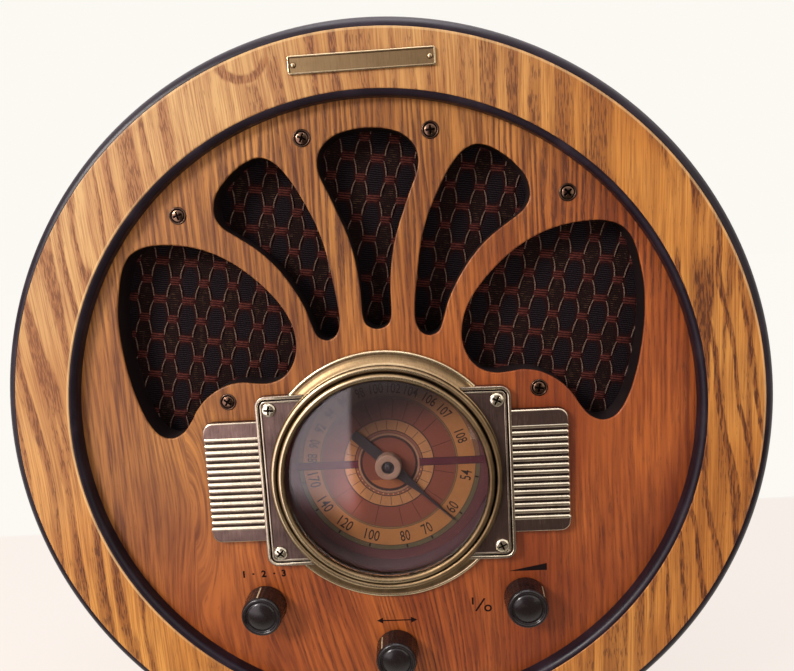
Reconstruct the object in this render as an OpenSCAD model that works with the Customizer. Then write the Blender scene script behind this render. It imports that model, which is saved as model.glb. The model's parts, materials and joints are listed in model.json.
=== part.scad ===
// A round table radio with a cassette player in its right side.
// The front frame has x to the right, y into the cabinet and z up, with its
// origin at the centre of the oak ring, on the ring's front face.

/* [Cabinet] */
// Outer radius of the oak ring's flat face
ring_r = 166; // [164:0.5:168]
// Width of the oak ring's flat face
ring_w = 24; // [22:0.5:26]
// Thickness of the front ring
ring_t = 15; // [14:0.5:16]
// Radius of the black round-over outside the oak
outer_bead_r = 6; // [4:0.5:7]
// Radius of the black round-over inside the oak
inner_bead_r = 2.7; // [2:0.1:3]
// Outer radius of the bent plywood drum
drum_r = 169; // [168:0.5:170]
// Thickness of the drum's wall
wall = 9; // [7:0.5:10]
// Distance from the ring's front face to the drum's rear edge
drum_back = 158; // [156:1:165]
// Height of the ring's centre above the flat cut at the bottom
flat_cut = 158; // [155:0.5:159]

/* [Base] */
// Width of the plinth
plinth_w = 190; // [150:5:210]
// Depth of the plinth
plinth_d = 140; // [120:5:140]
// Height of the plinth
plinth_h = 12; // [8:1:16]
// Height of each rubber foot
foot_h = 4; // [3:0.5:6]
// Radius of each rubber foot
foot_r = 10; // [7:0.5:12]

/* [Front panel] */
// Depth of the panel behind the ring's front face
panel_recess = 6.6; // [6:0.1:7]
// Thickness of the panel
panel_t = 14; // [13:0.5:14]
// Radius of the panel where it lies in the ring's rabbet
panel_r = 150.5; // [149:0.5:151]
// Thickness of the loudspeaker baffle
baffle_t = 8; // [6:0.5:9]
// Thickness of the grille cloth
cloth_t = 0.6; // [0.4:0.1:0.8]

/* [Dial] */
// Height of the dial's centre below the ring's centre
dial_drop = 27.8; // [27:0.1:29]
// Half width of the square brass plate
plate_x = 57.4; // [56:0.2:58]
// Half height of the square brass plate
plate_z = 40.3; // [39:0.1:41]
// Thickness of the square brass plate
plate_t = 3.65; // [3:0.05:4]
// Radius of the round brass flange
flange_r = 58.4; // [57:0.2:59]
// Radius of the hole through the plate and the panel
dial_hole_r = 50.6; // [50:0.1:51]
// Radius of the glass at its rim
glass_r = 46.4; // [45.8:0.1:46.5]
// Rise of the glass above its rim
glass_rise = 6.4; // [4:0.2:7]
// Depth of the printed dial behind the ring's front face
face_y = 24.4; // [23:0.1:24.6]
// Angle of the pointer's long end at rest, from the right, anticlockwise
pointer_rest = -44; // [-170:1:-5]

/* [Brass wings] */
// Width of each ribbed wing
wing_w = 25.2; // [22:0.2:26]
// Height of each ribbed wing
wing_h = 57.2; // [54:0.2:60]
// Thickness of each wing's base
wing_t = 2.6; // [2:0.1:3.4]
// Number of ribs on each wing
rib_count = 15; // [11:1:15]
// Distance between neighbouring ribs
rib_pitch = 3.05; // [3:0.01:3.1]
// Radius of each rib
rib_r = 1.2; // [0.9:0.05:1.3]

/* [Controls] */
// Radius of each knob at its foot
knob_r = 9.9; // [9:0.1:11]
// Height of each knob above the panel
knob_h = 12; // [10:0.2:14]
// Distance of the two outer knobs from the middle
knob_x = 61; // [58:0.5:64]
// Height of the two outer knobs below the ring's centre
knob_drop = 89.3; // [87:0.1:92]
// Height of the tuning knob below the ring's centre
tuning_drop = 113.5; // [112:0.1:116]
// Radius of each control shaft
shaft_r = 3; // [2.5:0.1:3]
// Radius of the pulley on the dial's shaft
pulley_r = 24; // [20:0.5:25]
// Radius of the sleeve that drives the dial cord
sleeve_r = 6; // [5:0.5:7]

/* [Speakers] */
// Distance of each loudspeaker from the middle
speaker_x = 77; // [74:1:78]
// Height of each loudspeaker above the ring's centre
speaker_z = 42; // [40:1:44]
// Radius of each loudspeaker's rim
speaker_r = 46; // [44:0.5:47]

/* [Cassette deck] */
// Distance of the deck's outer face from the middle
deck_x = 165; // [164:0.5:166]
// Depth of the deck's middle behind the ring's front face
deck_y = 89; // [88:1:90]
// Length of the deck's frame
deck_l = 114; // [113:0.5:115]
// Height of the deck's lower edge, from the ring's centre
deck_low = -50; // [-52:0.5:-50]
// Height of the deck's upper edge, from the ring's centre
deck_high = 54; // [52:0.5:56]
// Length of the cassette door
door_l = 105.2; // [105:0.1:105.4]
// Height of the cassette door's hinge, from the ring's centre
hinge_z = -44; // [-44.5:0.1:-43.8]
// Angle at which the cassette door is drawn
door_angle = 0; // [0:1:35]
// Travel of each key
key_travel = 5; // [3:0.5:5]
// Distance between the two tape spindles
spindle_gap = 42.5; // [42:0.1:43]

/* [Hidden] */
$fn = 64;
knob_dome = 0.5;
gland_end = 170;
centre_z = foot_h + plinth_h + flat_cut;
front_y = -(gland_end - (knob_h + knob_dome - panel_recess)) / 2;
panel_back = panel_recess + panel_t;
cloth_back = panel_back + cloth_t;
baffle_back = cloth_back + baffle_t;
drum_in = drum_r - wall;
ring_in = ring_r - ring_w;
cover_y = drum_back - 8;
cover_t = 6;
ledge_w = 12;
ledge_t = 6;
fit = 0.3;
run = 0.08;

// Corners of the five sunray openings, right half, x and z in the front frame
RAY_MIDDLE = [[0, 40], [4.6, 41.8], [6.4, 46.5], [6.7, 58], [7.8, 69], [10.2, 80], [13.8, 90],
    [17.6, 99.5], [21, 107.5], [21.9, 113.5], [20, 119.5], [14.5, 124.4], [7, 126.6], [0, 127.2]];
RAY_SLANTED = [[23, 36], [27.3, 38], [29.6, 43.5], [32, 51], [36.5, 60], [43, 69.5], [51, 77.7],
    [60, 84.2], [66, 88.6], [69, 94.5], [67.6, 102.5], [61.5, 110], [54, 115.5], [47, 117.5],
    [40.5, 114.7], [34.5, 107.5], [28.7, 97], [24, 86.5], [20.8, 75], [18.6, 62], [17.1, 50],
    [17, 43], [19, 38]];
RAY_OUTER = [[97.5, -6], [102.5, -5.2], [106.5, -1.5], [110.2, 5.5], [113.8, 17], [116.2, 30],
    [117.3, 43], [117, 54], [115.3, 64], [112.7, 73], [108.3, 79], [101.5, 81.9], [93, 82.4],
    [83, 81.2], [73, 78.2], [63, 72.8], [55, 66.5], [48, 59.5], [42, 51.5], [38.2, 43],
    [37.2, 33.5], [39.6, 25.5], [44.5, 20], [51, 17.7], [57.5, 17.9], [64, 18.6], [71.5, 17.2],
    [79, 13], [84.5, 7.6], [88.6, 1.2], [92.5, -3.6]];

// Screws of the panel, x and z, right half
PANEL_SCREWS = [[27.7, 124.5], [85.1, 94.8], [70.4, 10]];
// Screws of the dial plate, from the dial's centre
PLATE_SCREWS = [51.1, 34];
// Angles of the back cover's screws, from the right, anticlockwise
BACK_SCREWS = [-50 : 40 : 230];
// Centre of the mains lead's gland, x and z
GLAND = [-60, -100];
// Middles of the three keys along the deck
KEYS = [-32, 0, 32];
key_l = 26;
key_h = 11;
key_z = 41.5;

// Deck sizes, from the outer face inwards
bezel_t = 8;
door_t = 2.5;
door_top = 27.5;
barrel_r = 2;
pocket_t = 14.5;
pocket_l = 103.6;
pocket_wall = 1;
pocket_h = 40;
floor_z = hinge_z + 1.5;
plate_x0 = deck_x - 27;
plate_gauge = 2;
spindle_z = floor_z + pocket_wall + 29.2;
spindle_tip = deck_x - 8.5;
capstan_y = -31;
capstan_z = 14;
capstan_r = 1.2;
roller_r = 5;
carriage_travel = 8;
roller_z = capstan_z + capstan_r + roller_r + fit + carriage_travel;
flywheel_r = 20;
motor_y = 30;
motor_z = 10;
motor_pulley_r = 4;
belt_x = deck_x - 33;
belt_w = 2;
belt_t = 1;
// Pins that guide the head carriage, along the deck, and their height
GUIDES = [-15, 9];
GUIDE_Z = 27;

// Dial drive sizes
drive_y = 33;
drive_w = 5;
groove_w = 1.6;
gang_y = 42;
gang_l = 28;
rotor_r = 15;
rotor_pitch = 5;
blade_t = 0.8;

// Points of a closed smooth curve through the corners p, n to each stretch
function smooth(p, n = 3) = [for (i = [0 : len(p) - 1], k = [0 : n - 1])
    bend(p[(i - 1 + len(p)) % len(p)], p[i], p[(i + 1) % len(p)], p[(i + 2) % len(p)], k / n)];
// Catmull-Rom blend between b and c
function bend(a, b, c, d, t) = 0.5 * (2 * b + (c - a) * t + (2 * a - 5 * b + 4 * c - d) * t * t
    + (3 * b - 3 * c + d - a) * t * t * t);
// Points of an arc about [0, z] from angle a0 to a1, in n steps
function arc(r, z, a0, a1, n) = [for (i = [0 : n])
    [r * cos(a0 + (a1 - a0) * i / n), z + r * sin(a0 + (a1 - a0) * i / n)]];
// The right half's points followed by their mirror images
function both_halves(p) = concat(p, [for (i = [len(p) - 2 : -1 : 1]) [-p[i][0], p[i][1]]]);

// Places things given in the front frame
module front() {
    translate([0, front_y, centre_z]) children();
}

// A round bar along y
module bar_y(r, y0, y1) {
    translate([0, y0, 0]) rotate([-90, 0, 0]) cylinder(r = r, h = y1 - y0);
}

// A round bar along x
module bar_x(r, x0, x1) {
    translate([x0, 0, 0]) rotate([0, 90, 0]) cylinder(r = r, h = x1 - x0);
}

// An outline drawn in x and z, given thickness from y0 to y1
module slab_y(y0, y1) {
    translate([0, y1, 0]) rotate([90, 0, 0]) linear_extrude(y1 - y0) children();
}

// An outline drawn in y and z, given thickness from x0 to x1
module slab_x(x0, x1) {
    translate([x0, 0, 0]) rotate([90, 0, 90]) linear_extrude(x1 - x0) children();
}

// A profile of radius and height turned about the y axis, height towards the viewer
module turned() {
    rotate([90, 0, 0]) rotate_extrude($fn = 128) children();
}

// A rectangle with round corners about the origin
module rounded(w, h, r) {
    square([w, h - 2 * r], center = true);
    square([w - 2 * r, h], center = true);
    for (x = [-1, 1], z = [-1, 1]) translate([x * (w / 2 - r), z * (h / 2 - r)]) circle(r);
}

// Everything above the height z
module above(z) {
    translate([-200, -20, z]) cube([400, 220, 400]);
}

// A cross recess for a screw head of radius r
module cross(r, y0, y1) {
    for (a = [0, 90]) rotate([0, a, 0]) translate([-0.7 * r, y0, -0.14 * r])
        cube([1.4 * r, y1 - y0, 0.28 * r]);
}

// The outline of a loop round two circles, r1 at z1 above and r2 at z2 below
module loop(r1, z1, r2, z2) {
    a = asin((r2 - r1) / (z1 - z2));
    polygon(concat(arc(r1, z1, a, 180 - a, 40), arc(r2, z2, 180 - a, 360 + a, 24)));
}

module openings() {
    polygon(smooth(both_halves(RAY_MIDDLE)));
    for (side = [0, 1]) mirror([side, 0]) {
        polygon(smooth(RAY_SLANTED));
        polygon(smooth(RAY_OUTER));
    }
}

// Places a thing at each screw of the back cover
module at_cover_screws() {
    r = drum_in - ledge_w / 2;
    for (a = BACK_SCREWS) translate([r * cos(a), 0, r * sin(a)]) children();
}

module cabinet_drum() {
    color("peru") front() difference() {
        intersection() {
            bar_y(drum_r, ring_t, drum_back);
            above(-flat_cut);
        }
        intersection() {
            bar_y(drum_in, ring_t - 1, cover_y - ledge_t);
            above(wall - flat_cut);
        }
        intersection() {
            bar_y(drum_in - ledge_w, ring_t, drum_back + 1);
            above(wall - flat_cut);
        }
        intersection() {
            bar_y(drum_in, cover_y, drum_back + 1);
            above(wall - flat_cut);
        }
        slab_x(120, 180) translate([deck_y, (deck_low + deck_high) / 2])
            rounded(deck_l + 2 * fit, deck_high - deck_low + 2 * fit, 5 + fit);
        at_cover_screws() bar_y(1.6, cover_y - ledge_t + 1, cover_y + 1);
    }
}

module front_ring() {
    color("goldenrod") front() intersection() {
        turned() polygon([[ring_in, 0], [ring_r, 0], [ring_r, -ring_t], [panel_r + 0.5, -ring_t],
            [panel_r + 0.5, -panel_recess], [ring_in, -panel_recess]]);
        above(-flat_cut);
    }
}

module outer_bead() {
    r = outer_bead_r;
    color([0.07, 0.06, 0.08]) front() intersection() {
        turned() {
            translate([ring_r, -ring_t]) square([r, ring_t - r]);
            translate([ring_r, -r]) intersection() {
                circle(r);
                square(r);
            }
        }
        above(-flat_cut);
    }
}

module inner_bead() {
    r = inner_bead_r;
    color([0.07, 0.06, 0.08]) front() turned() {
        translate([ring_in - r, -panel_recess]) square([r, panel_recess - r]);
        translate([ring_in, -r]) intersection() {
            circle(r);
            translate([-r, 0]) square(r);
        }
    }
}

// The panel's disc, flat where the drum's floor passes behind the ring
module panel_disc(y0, y1) {
    intersection() {
        bar_y(panel_r, y0, y1);
        above(wall - flat_cut + fit);
    }
}

module panel_holes(y0, y1, shaft_gap) {
    translate([0, 0, -dial_drop]) bar_y(dial_hole_r, y0, y1);
    for (x = [-knob_x, knob_x]) translate([x, 0, -knob_drop]) bar_y(shaft_gap, y0, y1);
    translate([0, 0, -tuning_drop]) bar_y(shaft_r + fit, y0, y1);
    for (side = [-1, 1], p = PANEL_SCREWS) translate([side * p[0], 0, p[1]]) bar_y(2.05, y0, y1);
}

module front_panel() {
    color([0.72, 0.4, 0.18]) front() difference() {
        panel_disc(panel_recess, panel_back);
        slab_y(panel_recess - 1, panel_back + 1) openings();
        panel_holes(panel_recess - 1, panel_back + 1, 5);
        for (side = [-1, 1], p = PANEL_SCREWS)
            translate([side * p[0], 0, p[1]]) bar_y(3.9, panel_recess - 1, panel_recess + 1.2);
        for (x = [-1, 1], z = [-1, 1])
            translate([x * PLATE_SCREWS[0], 0, z * PLATE_SCREWS[1] - dial_drop])
                bar_y(1.55, panel_recess - 1, panel_recess + 11.5);
    }
}

module grille_cloth() {
    color([0.1, 0.07, 0.08]) front() difference() {
        panel_disc(panel_back, cloth_back);
        panel_holes(panel_back - 1, cloth_back + 1, 5);
    }
}

module baffle_board() {
    color([0.3, 0.2, 0.12]) front() difference() {
        intersection() {
            bar_y(drum_in - 0.1, cloth_back, baffle_back);
            above(wall - flat_cut + 0.1);
        }
        panel_holes(cloth_back - 1, baffle_back + 1, 5);
        for (x = [-speaker_x, speaker_x])
            translate([x, 0, speaker_z]) bar_y(speaker_r - 7, cloth_back - 1, baffle_back + 1);
    }
}

module base_plinth() {
    color([0.1, 0.09, 0.1]) translate([0, front_y + 9 + plinth_d / 2, foot_h])
        linear_extrude(plinth_h) rounded(plinth_w, plinth_d, 8);
}

module rubber_feet() {
    color([0.12, 0.12, 0.12]) for (x = [-1, 1], y = [-1, 1])
        translate([x * (plinth_w / 2 - 20), front_y + 9 + plinth_d / 2 + y * (plinth_d / 2 - 20), 0])
            cylinder(r = foot_r, h = foot_h);
}

// A slot through the back cover, half its height given
module vent(half) {
    translate([-2, 0, -half]) cube([4, cover_t + 2, 2 * half]);
}

module back_cover() {
    back = cover_y + cover_t;
    color([0.2, 0.13, 0.09]) front() difference() {
        intersection() {
            bar_y(drum_in - fit, cover_y, back);
            above(wall - flat_cut + fit);
        }
        for (side = [-1, 1], k = [-4 : 4])
            translate([side * 66 + 9 * k, cover_y - 1, 35]) vent(27 - 2.5 * abs(k));
        for (k = [-5 : 5]) translate([9 * k, cover_y - 1, -88]) vent(17);
        translate([GLAND[0], 0, GLAND[1]]) bar_y(6, cover_y - 1, back + 1);
        at_cover_screws() bar_y(1.6, cover_y - 1, back + 1);
    }
}

module back_screws() {
    head = cover_y + cover_t;
    color("silver") front() at_cover_screws() difference() {
        union() {
            bar_y(3.4, head, head + 1.8);
            bar_y(1.5, cover_y - ledge_t + 2, head + 0.5);
        }
        cross(3.4, head + 0.8, head + 2);
    }
}

module cord_gland() {
    back = cover_y + cover_t;
    color([0.09, 0.09, 0.09]) front() translate([GLAND[0], 0, GLAND[1]]) difference() {
        union() {
            bar_y(5.9, cover_y - 2, back);
            bar_y(9, back, back + 2.5);
            bar_y(7, back + 2.5, back + 8);
            bar_y(6, back + 8, gland_end);
        }
        bar_y(3.5, cover_y - 3, gland_end + 1);
    }
}

module nameplate() {
    z = (ring_r + ring_in) / 2 - 1;
    color([0.55, 0.48, 0.32]) front() translate([0.6, 0, z]) {
        slab_y(-0.8, 0) rounded(61.5, 7.5, 1);
        slab_y(-1.3, -0.8) difference() {
            rounded(61.5, 7.5, 1);
            rounded(60.1, 6.1, 0.6);
        }
        for (x = [-28.4, 28.4]) translate([x, 0, 0]) bar_y(0.9, -1.5, -0.8);
    }
}

module panel_screws() {
    color([0.2, 0.15, 0.11]) front() for (side = [-1, 1], p = PANEL_SCREWS)
        translate([side * p[0], panel_recess, p[1]]) difference() {
            union() {
                bar_y(3.85, -0.5, 1.2);
                bar_y(2.8, -1.1, -0.4);
                bar_y(2, 1, panel_t + cloth_t + baffle_t - 1);
            }
            cross(2.6, -1.2, -0.2);
        }
}

module dial_plate() {
    top = plate_t;
    color([0.56, 0.5, 0.38]) front() translate([0, panel_recess, -dial_drop]) difference() {
        union() {
            slab_y(-top, 0) rounded(2 * plate_x, 2 * plate_z, 4.5);
            slab_y(-top - 0.7, -top) difference() {
                rounded(2 * plate_x, 2 * plate_z, 4.5);
                rounded(2 * plate_x - 3, 2 * plate_z - 3, 3);
            }
            slab_y(-top - 0.4, -top) difference() {
                rounded(2 * plate_x - 4.6, 2 * plate_z - 4.6, 2.4);
                rounded(2 * plate_x - 6.2, 2 * plate_z - 6.2, 1.8);
            }
            turned() polygon([[dial_hole_r - 1, 0], [flange_r, 0], [flange_r, 1.4], [flange_r - 0.8, 2.2],
                [flange_r - 2.2, 2.5], [flange_r - 4, 2.9], [flange_r - 5.6, 3.8], [flange_r - 6.4, 4.3],
                [dial_hole_r - 1, 4.3]]);
        }
        bar_y(dial_hole_r, -8, 1);
        for (x = [-1, 1], z = [-1, 1])
            translate([x * PLATE_SCREWS[0], 0, z * PLATE_SCREWS[1]]) bar_y(1.55, -8, 1);
    }
}

module plate_screws() {
    color([0.85, 0.74, 0.48]) front() for (x = [-1, 1], z = [-1, 1])
        translate([x * PLATE_SCREWS[0], panel_recess - plate_t, z * PLATE_SCREWS[1] - dial_drop])
            difference() {
                union() {
                    bar_y(3.1, -1.2, 0);
                    bar_y(2.5, -1.7, -1.1);
                    bar_y(1.5, -0.1, plate_t + 11);
                }
                cross(2.7, -1.8, -0.6);
            }
}

module wing() {
    w = wing_w;
    h = wing_h;
    difference() {
        wing_body(w, h);
        translate([0, 0, -dial_drop]) bar_y(flange_r, 0, panel_recess + 1);
    }
}

module wing_body(w, h) {
    translate([plate_x + w / 2, panel_recess, -dial_drop + 0.3]) {
        slab_y(-wing_t, 0) intersection() {
            rounded(w + 9, h, 4.5);
            translate([-w / 2, -h / 2]) square([w, h]);
        }
        for (z = [-1, 1]) translate([0, 0, z * (h / 2 - 3.4)])
            slab_y(-wing_t - 0.9, -wing_t) intersection() {
                rounded(w + 6, 5.6, 1.5);
                translate([-w / 2, -4]) square([w - 0.7, 8]);
            }
        for (k = [0 : rib_count - 1])
            translate([0, -wing_t, (k - (rib_count - 1) / 2) * rib_pitch - 0.6])
                bar_x(rib_r, -w / 2, w / 2);
    }
}

module right_wing() {
    color([0.6, 0.55, 0.42]) front() wing();
}

module left_wing() {
    color([0.6, 0.55, 0.42]) front() mirror([1, 0, 0]) wing();
}

module dial_bezel() {
    color([0.66, 0.58, 0.38]) front() translate([0, 0, -dial_drop]) turned() {
        translate([dial_hole_r + 0.6, -0.7]) circle(1.5);
        translate([glass_r + 0.6, 0.6]) circle(1.6);
        translate([glass_r + 0.1, -7]) square([dial_hole_r - 0.2 - glass_r - 0.1, 6.9]);
    }
}

module dial_glass() {
    rim = glass_r - 1.2;
    ball = (rim * rim + glass_rise * glass_rise) / (2 * glass_rise);
    color([0.8, 0.85, 0.85, 0.3]) front() translate([0, 0, -dial_drop]) turned() {
        translate([rim - 0.3, -3.1]) square([1.5, 2]);
        intersection() {
            translate([0, -1.1 + glass_rise - ball]) difference() {
                circle(ball, $fn = 256);
                circle(ball - 2, $fn = 256);
            }
            translate([0, -3.1]) square([rim, glass_rise + 3]);
        }
    }
}

module dial_can() {
    r = dial_hole_r - 0.4;
    back = face_y + 0.8;
    color("silver") front() translate([0, 0, -dial_drop]) difference() {
        bar_y(r, 7, back + 1.4);
        bar_y(r - 1.4, 6, back);
        bar_y(5, 6, back + 2);
        for (x = [-34, 34]) translate([x, 0, -10]) bar_y(5.3, 6, back + 2);
    }
}

module dial_face() {
    color([0.85, 0.62, 0.3]) front() translate([0, 0, -dial_drop]) difference() {
        bar_y(dial_hole_r - 1.9, face_y, face_y + 0.8);
        bar_y(2.5 + fit, face_y - 1, face_y + 2);
    }
}

module dial_lamps() {
    back = face_y + 2.2;
    color([0.95, 0.9, 0.7]) front() for (x = [-34, 34]) translate([x, 0, -dial_drop - 10]) {
        bar_y(3, face_y + 1.2, back + 4);
        bar_y(5, back + 4, back + 14);
        bar_y(6.4, back, back + 1.2);
        difference() {
            bar_y(5, back + 1, back + 4);
            bar_y(3, back, back + 5);
        }
    }
}

module pointer() {
    y = face_y - 1.8;
    color([0.12, 0.08, 0.07]) front() translate([0, 0, -dial_drop]) rotate([0, -pointer_rest, 0]) {
        slab_y(y, y + 0.7) difference() {
            union() {
                polygon([[-22.5, -1.6], [-21, -2.5], [8, -2.5], [23, -0.6], [41.8, -0.4],
                    [41.8, 0.4], [23, 0.6], [8, 2.5], [-21, 2.5], [-22.5, 1.6]]);
                circle(6);
            }
            circle(2.5);
        }
        difference() {
            bar_y(6, y - 5, y);
            bar_y(2.9, y - 6, y + 1);
        }
    }
}

module dial_pulley() {
    mid = drive_y + drive_w / 2;
    color([0.75, 0.72, 0.66]) front() translate([0, 0, -dial_drop]) {
        bar_y(2.5, face_y - 2.4, gang_y - 1);
        difference() {
            bar_y(pulley_r + 1.5, drive_y, drive_y + drive_w);
            difference() {
                bar_y(pulley_r + 3, mid - groove_w / 2, mid + groove_w / 2);
                bar_y(pulley_r, drive_y, drive_y + drive_w);
            }
            bar_y(2, drive_y - 1, drive_y + drive_w + 1);
            for (a = [0 : 60 : 300]) rotate([0, a, 0]) translate([14, 0, 0])
                bar_y(4.5, drive_y - 1, drive_y + drive_w + 1);
        }
    }
}

module dial_cord() {
    mid = drive_y + drive_w / 2;
    color([0.8, 0.75, 0.6]) front() slab_y(mid - 0.5, mid + 0.5) difference() {
        loop(pulley_r + 1, -dial_drop, sleeve_r + 1, -tuning_drop);
        loop(pulley_r + 0.1, -dial_drop, sleeve_r + 0.1, -tuning_drop);
    }
}

module tuning_gang() {
    color([0.7, 0.7, 0.72]) front() translate([0, 0, -dial_drop]) {
        difference() {
            union() {
                translate([-60, gang_y, -7]) cube([120, 1.4, 14]);
                translate([-18, gang_y, -20]) cube([36, 1.4, 38]);
                translate([-18, gang_y + gang_l - 1.4, -20]) cube([36, 1.4, 38]);
            }
            bar_y(2.5 + fit, gang_y - 1, gang_y + gang_l + 1);
        }
        translate([-18, gang_y, -21.4]) cube([36, gang_l, 1.4]);
        for (x = [-56, 56]) translate([x, 0, 0]) bar_y(3, baffle_back, gang_y);
        for (k = [0 : 4]) translate([0, gang_y + 3.6 + k * rotor_pitch, 0])
            slab_y(-blade_t / 2, blade_t / 2) difference() {
                translate([-17, -20]) square([34, 17]);
                circle(4.5);
            }
    }
}

module tuning_rotor() {
    color([0.8, 0.8, 0.82]) front() translate([0, 0, -dial_drop]) {
        bar_y(2.5, gang_y - 1, gang_y + gang_l + 1);
        for (k = [0 : 3]) translate([0, gang_y + 3.6 + (k + 0.5) * rotor_pitch, 0])
            slab_y(-blade_t / 2, blade_t / 2) difference() {
                circle(rotor_r);
                rotate(pointer_rest) translate([-rotor_r - 1, 4]) square([2 * rotor_r + 2, rotor_r]);
            }
    }
}

// A knob with its foot at the panel and a blind hole for its shaft
module knob(mark) {
    r = knob_r;
    color([0.05, 0.045, 0.045]) {
        turned() difference() {
            polygon([[0, 0.4], [r, 0.4], [r, 2], [r - 0.5, knob_h - 1.2], [r - 1.5, knob_h - 0.2],
                [r - 2.3, knob_h], [r - 2.6, knob_h - 0.8], [r - 3.4, knob_h - 0.8],
                [r - 3.7, knob_h - 0.1], [3, knob_h + 0.4], [0, knob_h + knob_dome]]);
            translate([-1, -1]) square([shaft_r + 1, knob_h - 2]);
        }
        rotate([0, -mark, 0]) translate([r - 0.4, -knob_h + 2, -0.3]) cube([0.5, knob_h - 3.4, 0.6]);
    }
}

module tuning_knob() {
    front() translate([0, panel_recess, -tuning_drop]) knob(133);
}

module band_knob() {
    front() translate([-knob_x, panel_recess, -knob_drop]) knob(98);
}

module volume_knob() {
    front() translate([knob_x, panel_recess, -knob_drop]) knob(37);
}

module tuning_shaft() {
    mid = drive_y + drive_w / 2;
    color("silver") front() translate([0, 0, -tuning_drop]) {
        bar_y(shaft_r, panel_recess - knob_h + 3, drive_y + drive_w + 3);
        difference() {
            bar_y(sleeve_r + 1.5, drive_y, drive_y + drive_w);
            difference() {
                bar_y(sleeve_r + 3, mid - groove_w / 2, mid + groove_w / 2);
                bar_y(sleeve_r, drive_y, drive_y + drive_w);
            }
        }
    }
}

// The plain shaft of an outer control
module control_shaft(x) {
    front() translate([x, 0, -knob_drop]) bar_y(shaft_r, panel_recess - knob_h + 3, baffle_back + 6);
}

module band_shaft() {
    color("silver") control_shaft(-knob_x);
}

module volume_shaft() {
    color("silver") control_shaft(knob_x);
}

// The threaded bushing of a control, with the room in it for the shaft
module control_bore() {
    bar_y(shaft_r + run, 0, baffle_back + 6.3);
}

module band_switch() {
    color([0.5, 0.4, 0.25]) front() translate([-knob_x, 0, -knob_drop]) difference() {
        union() {
            bar_y(4.8, panel_recess + 2, baffle_back);
            translate([-13, baffle_back, -13]) cube([26, 8, 26]);
            bar_y(11, baffle_back + 8, baffle_back + 14);
        }
        control_bore();
    }
}

module volume_control() {
    color([0.6, 0.6, 0.6]) front() translate([knob_x, 0, -knob_drop]) difference() {
        union() {
            bar_y(4.8, panel_recess + 2, baffle_back);
            bar_y(12, baffle_back, baffle_back + 10);
            translate([-8, baffle_back, -17]) cube([16, 2, 8]);
        }
        control_bore();
    }
}

module circuit_board() {
    y = baffle_back + 26;
    color([0.2, 0.4, 0.2]) front() {
        translate([-66, y, -128]) cube([132, 1.6, 64]);
        for (x = [-46, -30, 22, 42]) translate([x, 0, -82]) bar_y(5, y + 1.6, y + 20);
        for (x = [-54, 0, 52]) translate([x, 0, -112]) bar_y(4, y + 1.6, y + 12);
        translate([-14, y + 1.6, -92]) cube([28, 10, 12]);
        translate([14, y + 1.6, -118]) cube([22, 4, 8]);
        for (x = [-60, 60], z = [-70, -122]) translate([x, 0, z]) bar_y(2.5, baffle_back, y);
    }
}

module power_transformer() {
    color([0.45, 0.4, 0.38]) front() translate([-52, 100, wall - flat_cut]) {
        cube([48, 30, 3]);
        translate([4, 5, 3]) cube([40, 20, 34]);
        translate([10, -3, 9]) cube([28, 36, 22]);
    }
}

module speaker_basket(x) {
    r = speaker_r;
    color([0.25, 0.25, 0.26]) front() translate([x, baffle_back, speaker_z]) turned()
        polygon([[r, 0], [r, -2], [r - 6, -2], [25, -20], [25, -22], [22, -22], [22, -33], [0, -33],
            [0, -21], [16, -21], [16, -20], [22, -20], [r - 9, -1.5], [r - 9, 0]]);
}

module speaker_cone(x) {
    r = speaker_r - 9.1;
    color([0.12, 0.11, 0.1]) front() translate([x, baffle_back, speaker_z]) turned()
        polygon([[r, -0.4], [r - 3, 0], [r - 5, -1.2], [12, -15.5], [6, -13], [0, -12], [0, -13],
            [6, -14], [11.5, -17], [12, -17], [r - 5, -2.4], [r, -1.2]]);
}

module left_speaker_basket() {
    speaker_basket(-speaker_x);
}

module left_speaker_cone() {
    speaker_cone(-speaker_x);
}

module right_speaker_basket() {
    speaker_basket(speaker_x);
}

module right_speaker_cone() {
    speaker_cone(speaker_x);
}

// Places things given from the deck's middle, with the front frame's x and z
module deck() {
    front() translate([0, deck_y, 0]) children();
}

// Turns the door's pieces about the hinge
module hinged() {
    deck() translate([deck_x - barrel_r, 0, hinge_z]) rotate([0, door_angle, 0])
        translate([barrel_r - deck_x, 0, -hinge_z]) children();
}

module deck_bezel() {
    h = deck_high - deck_low;
    open_h = door_top + 0.5 - (hinge_z - barrel_r - 0.5);
    color([0.1, 0.1, 0.11]) deck() difference() {
        slab_x(deck_x - bezel_t, deck_x) translate([0, deck_low + h / 2]) rounded(deck_l, h, 5);
        translate([deck_x - 20, -door_l / 2 - 0.4, hinge_z - barrel_r - 0.5])
            cube([40, door_l + 0.8, open_h]);
        for (y = KEYS) translate([deck_x - 20, y - key_l / 2 - 0.4, key_z - key_h / 2 - 0.4])
            cube([40, key_l + 0.8, key_h + 0.8]);
        translate([deck_x - barrel_r, 0, hinge_z]) bar_y(1.3 + run, -door_l / 2 - 2.5, door_l / 2 + 2.5);
    }
}

module cassette_door() {
    color([0.13, 0.13, 0.14]) hinged() {
        difference() {
            union() {
                slab_x(deck_x - door_t, deck_x) translate([-door_l / 2, hinge_z])
                    square([door_l, door_top - hinge_z]);
                translate([deck_x - barrel_r, 0, hinge_z]) bar_y(barrel_r, -door_l / 2, door_l / 2);
            }
            slab_x(deck_x - 10, deck_x + 1) translate([0, -5]) rounded(80, 36, 2);
        }
        translate([deck_x - barrel_r, 0, hinge_z]) bar_y(1.3, -door_l / 2 - 2, door_l / 2 + 2);
        for (y = [-20, 20]) translate([deck_x, y - 8, 20]) cube([0.8, 16, 1.2]);
    }
}

module door_window() {
    color([0.6, 0.65, 0.7, 0.4]) hinged() slab_x(deck_x - 2.2, deck_x - 0.3)
        translate([0, -5]) rounded(80, 36, 2);
}

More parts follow.
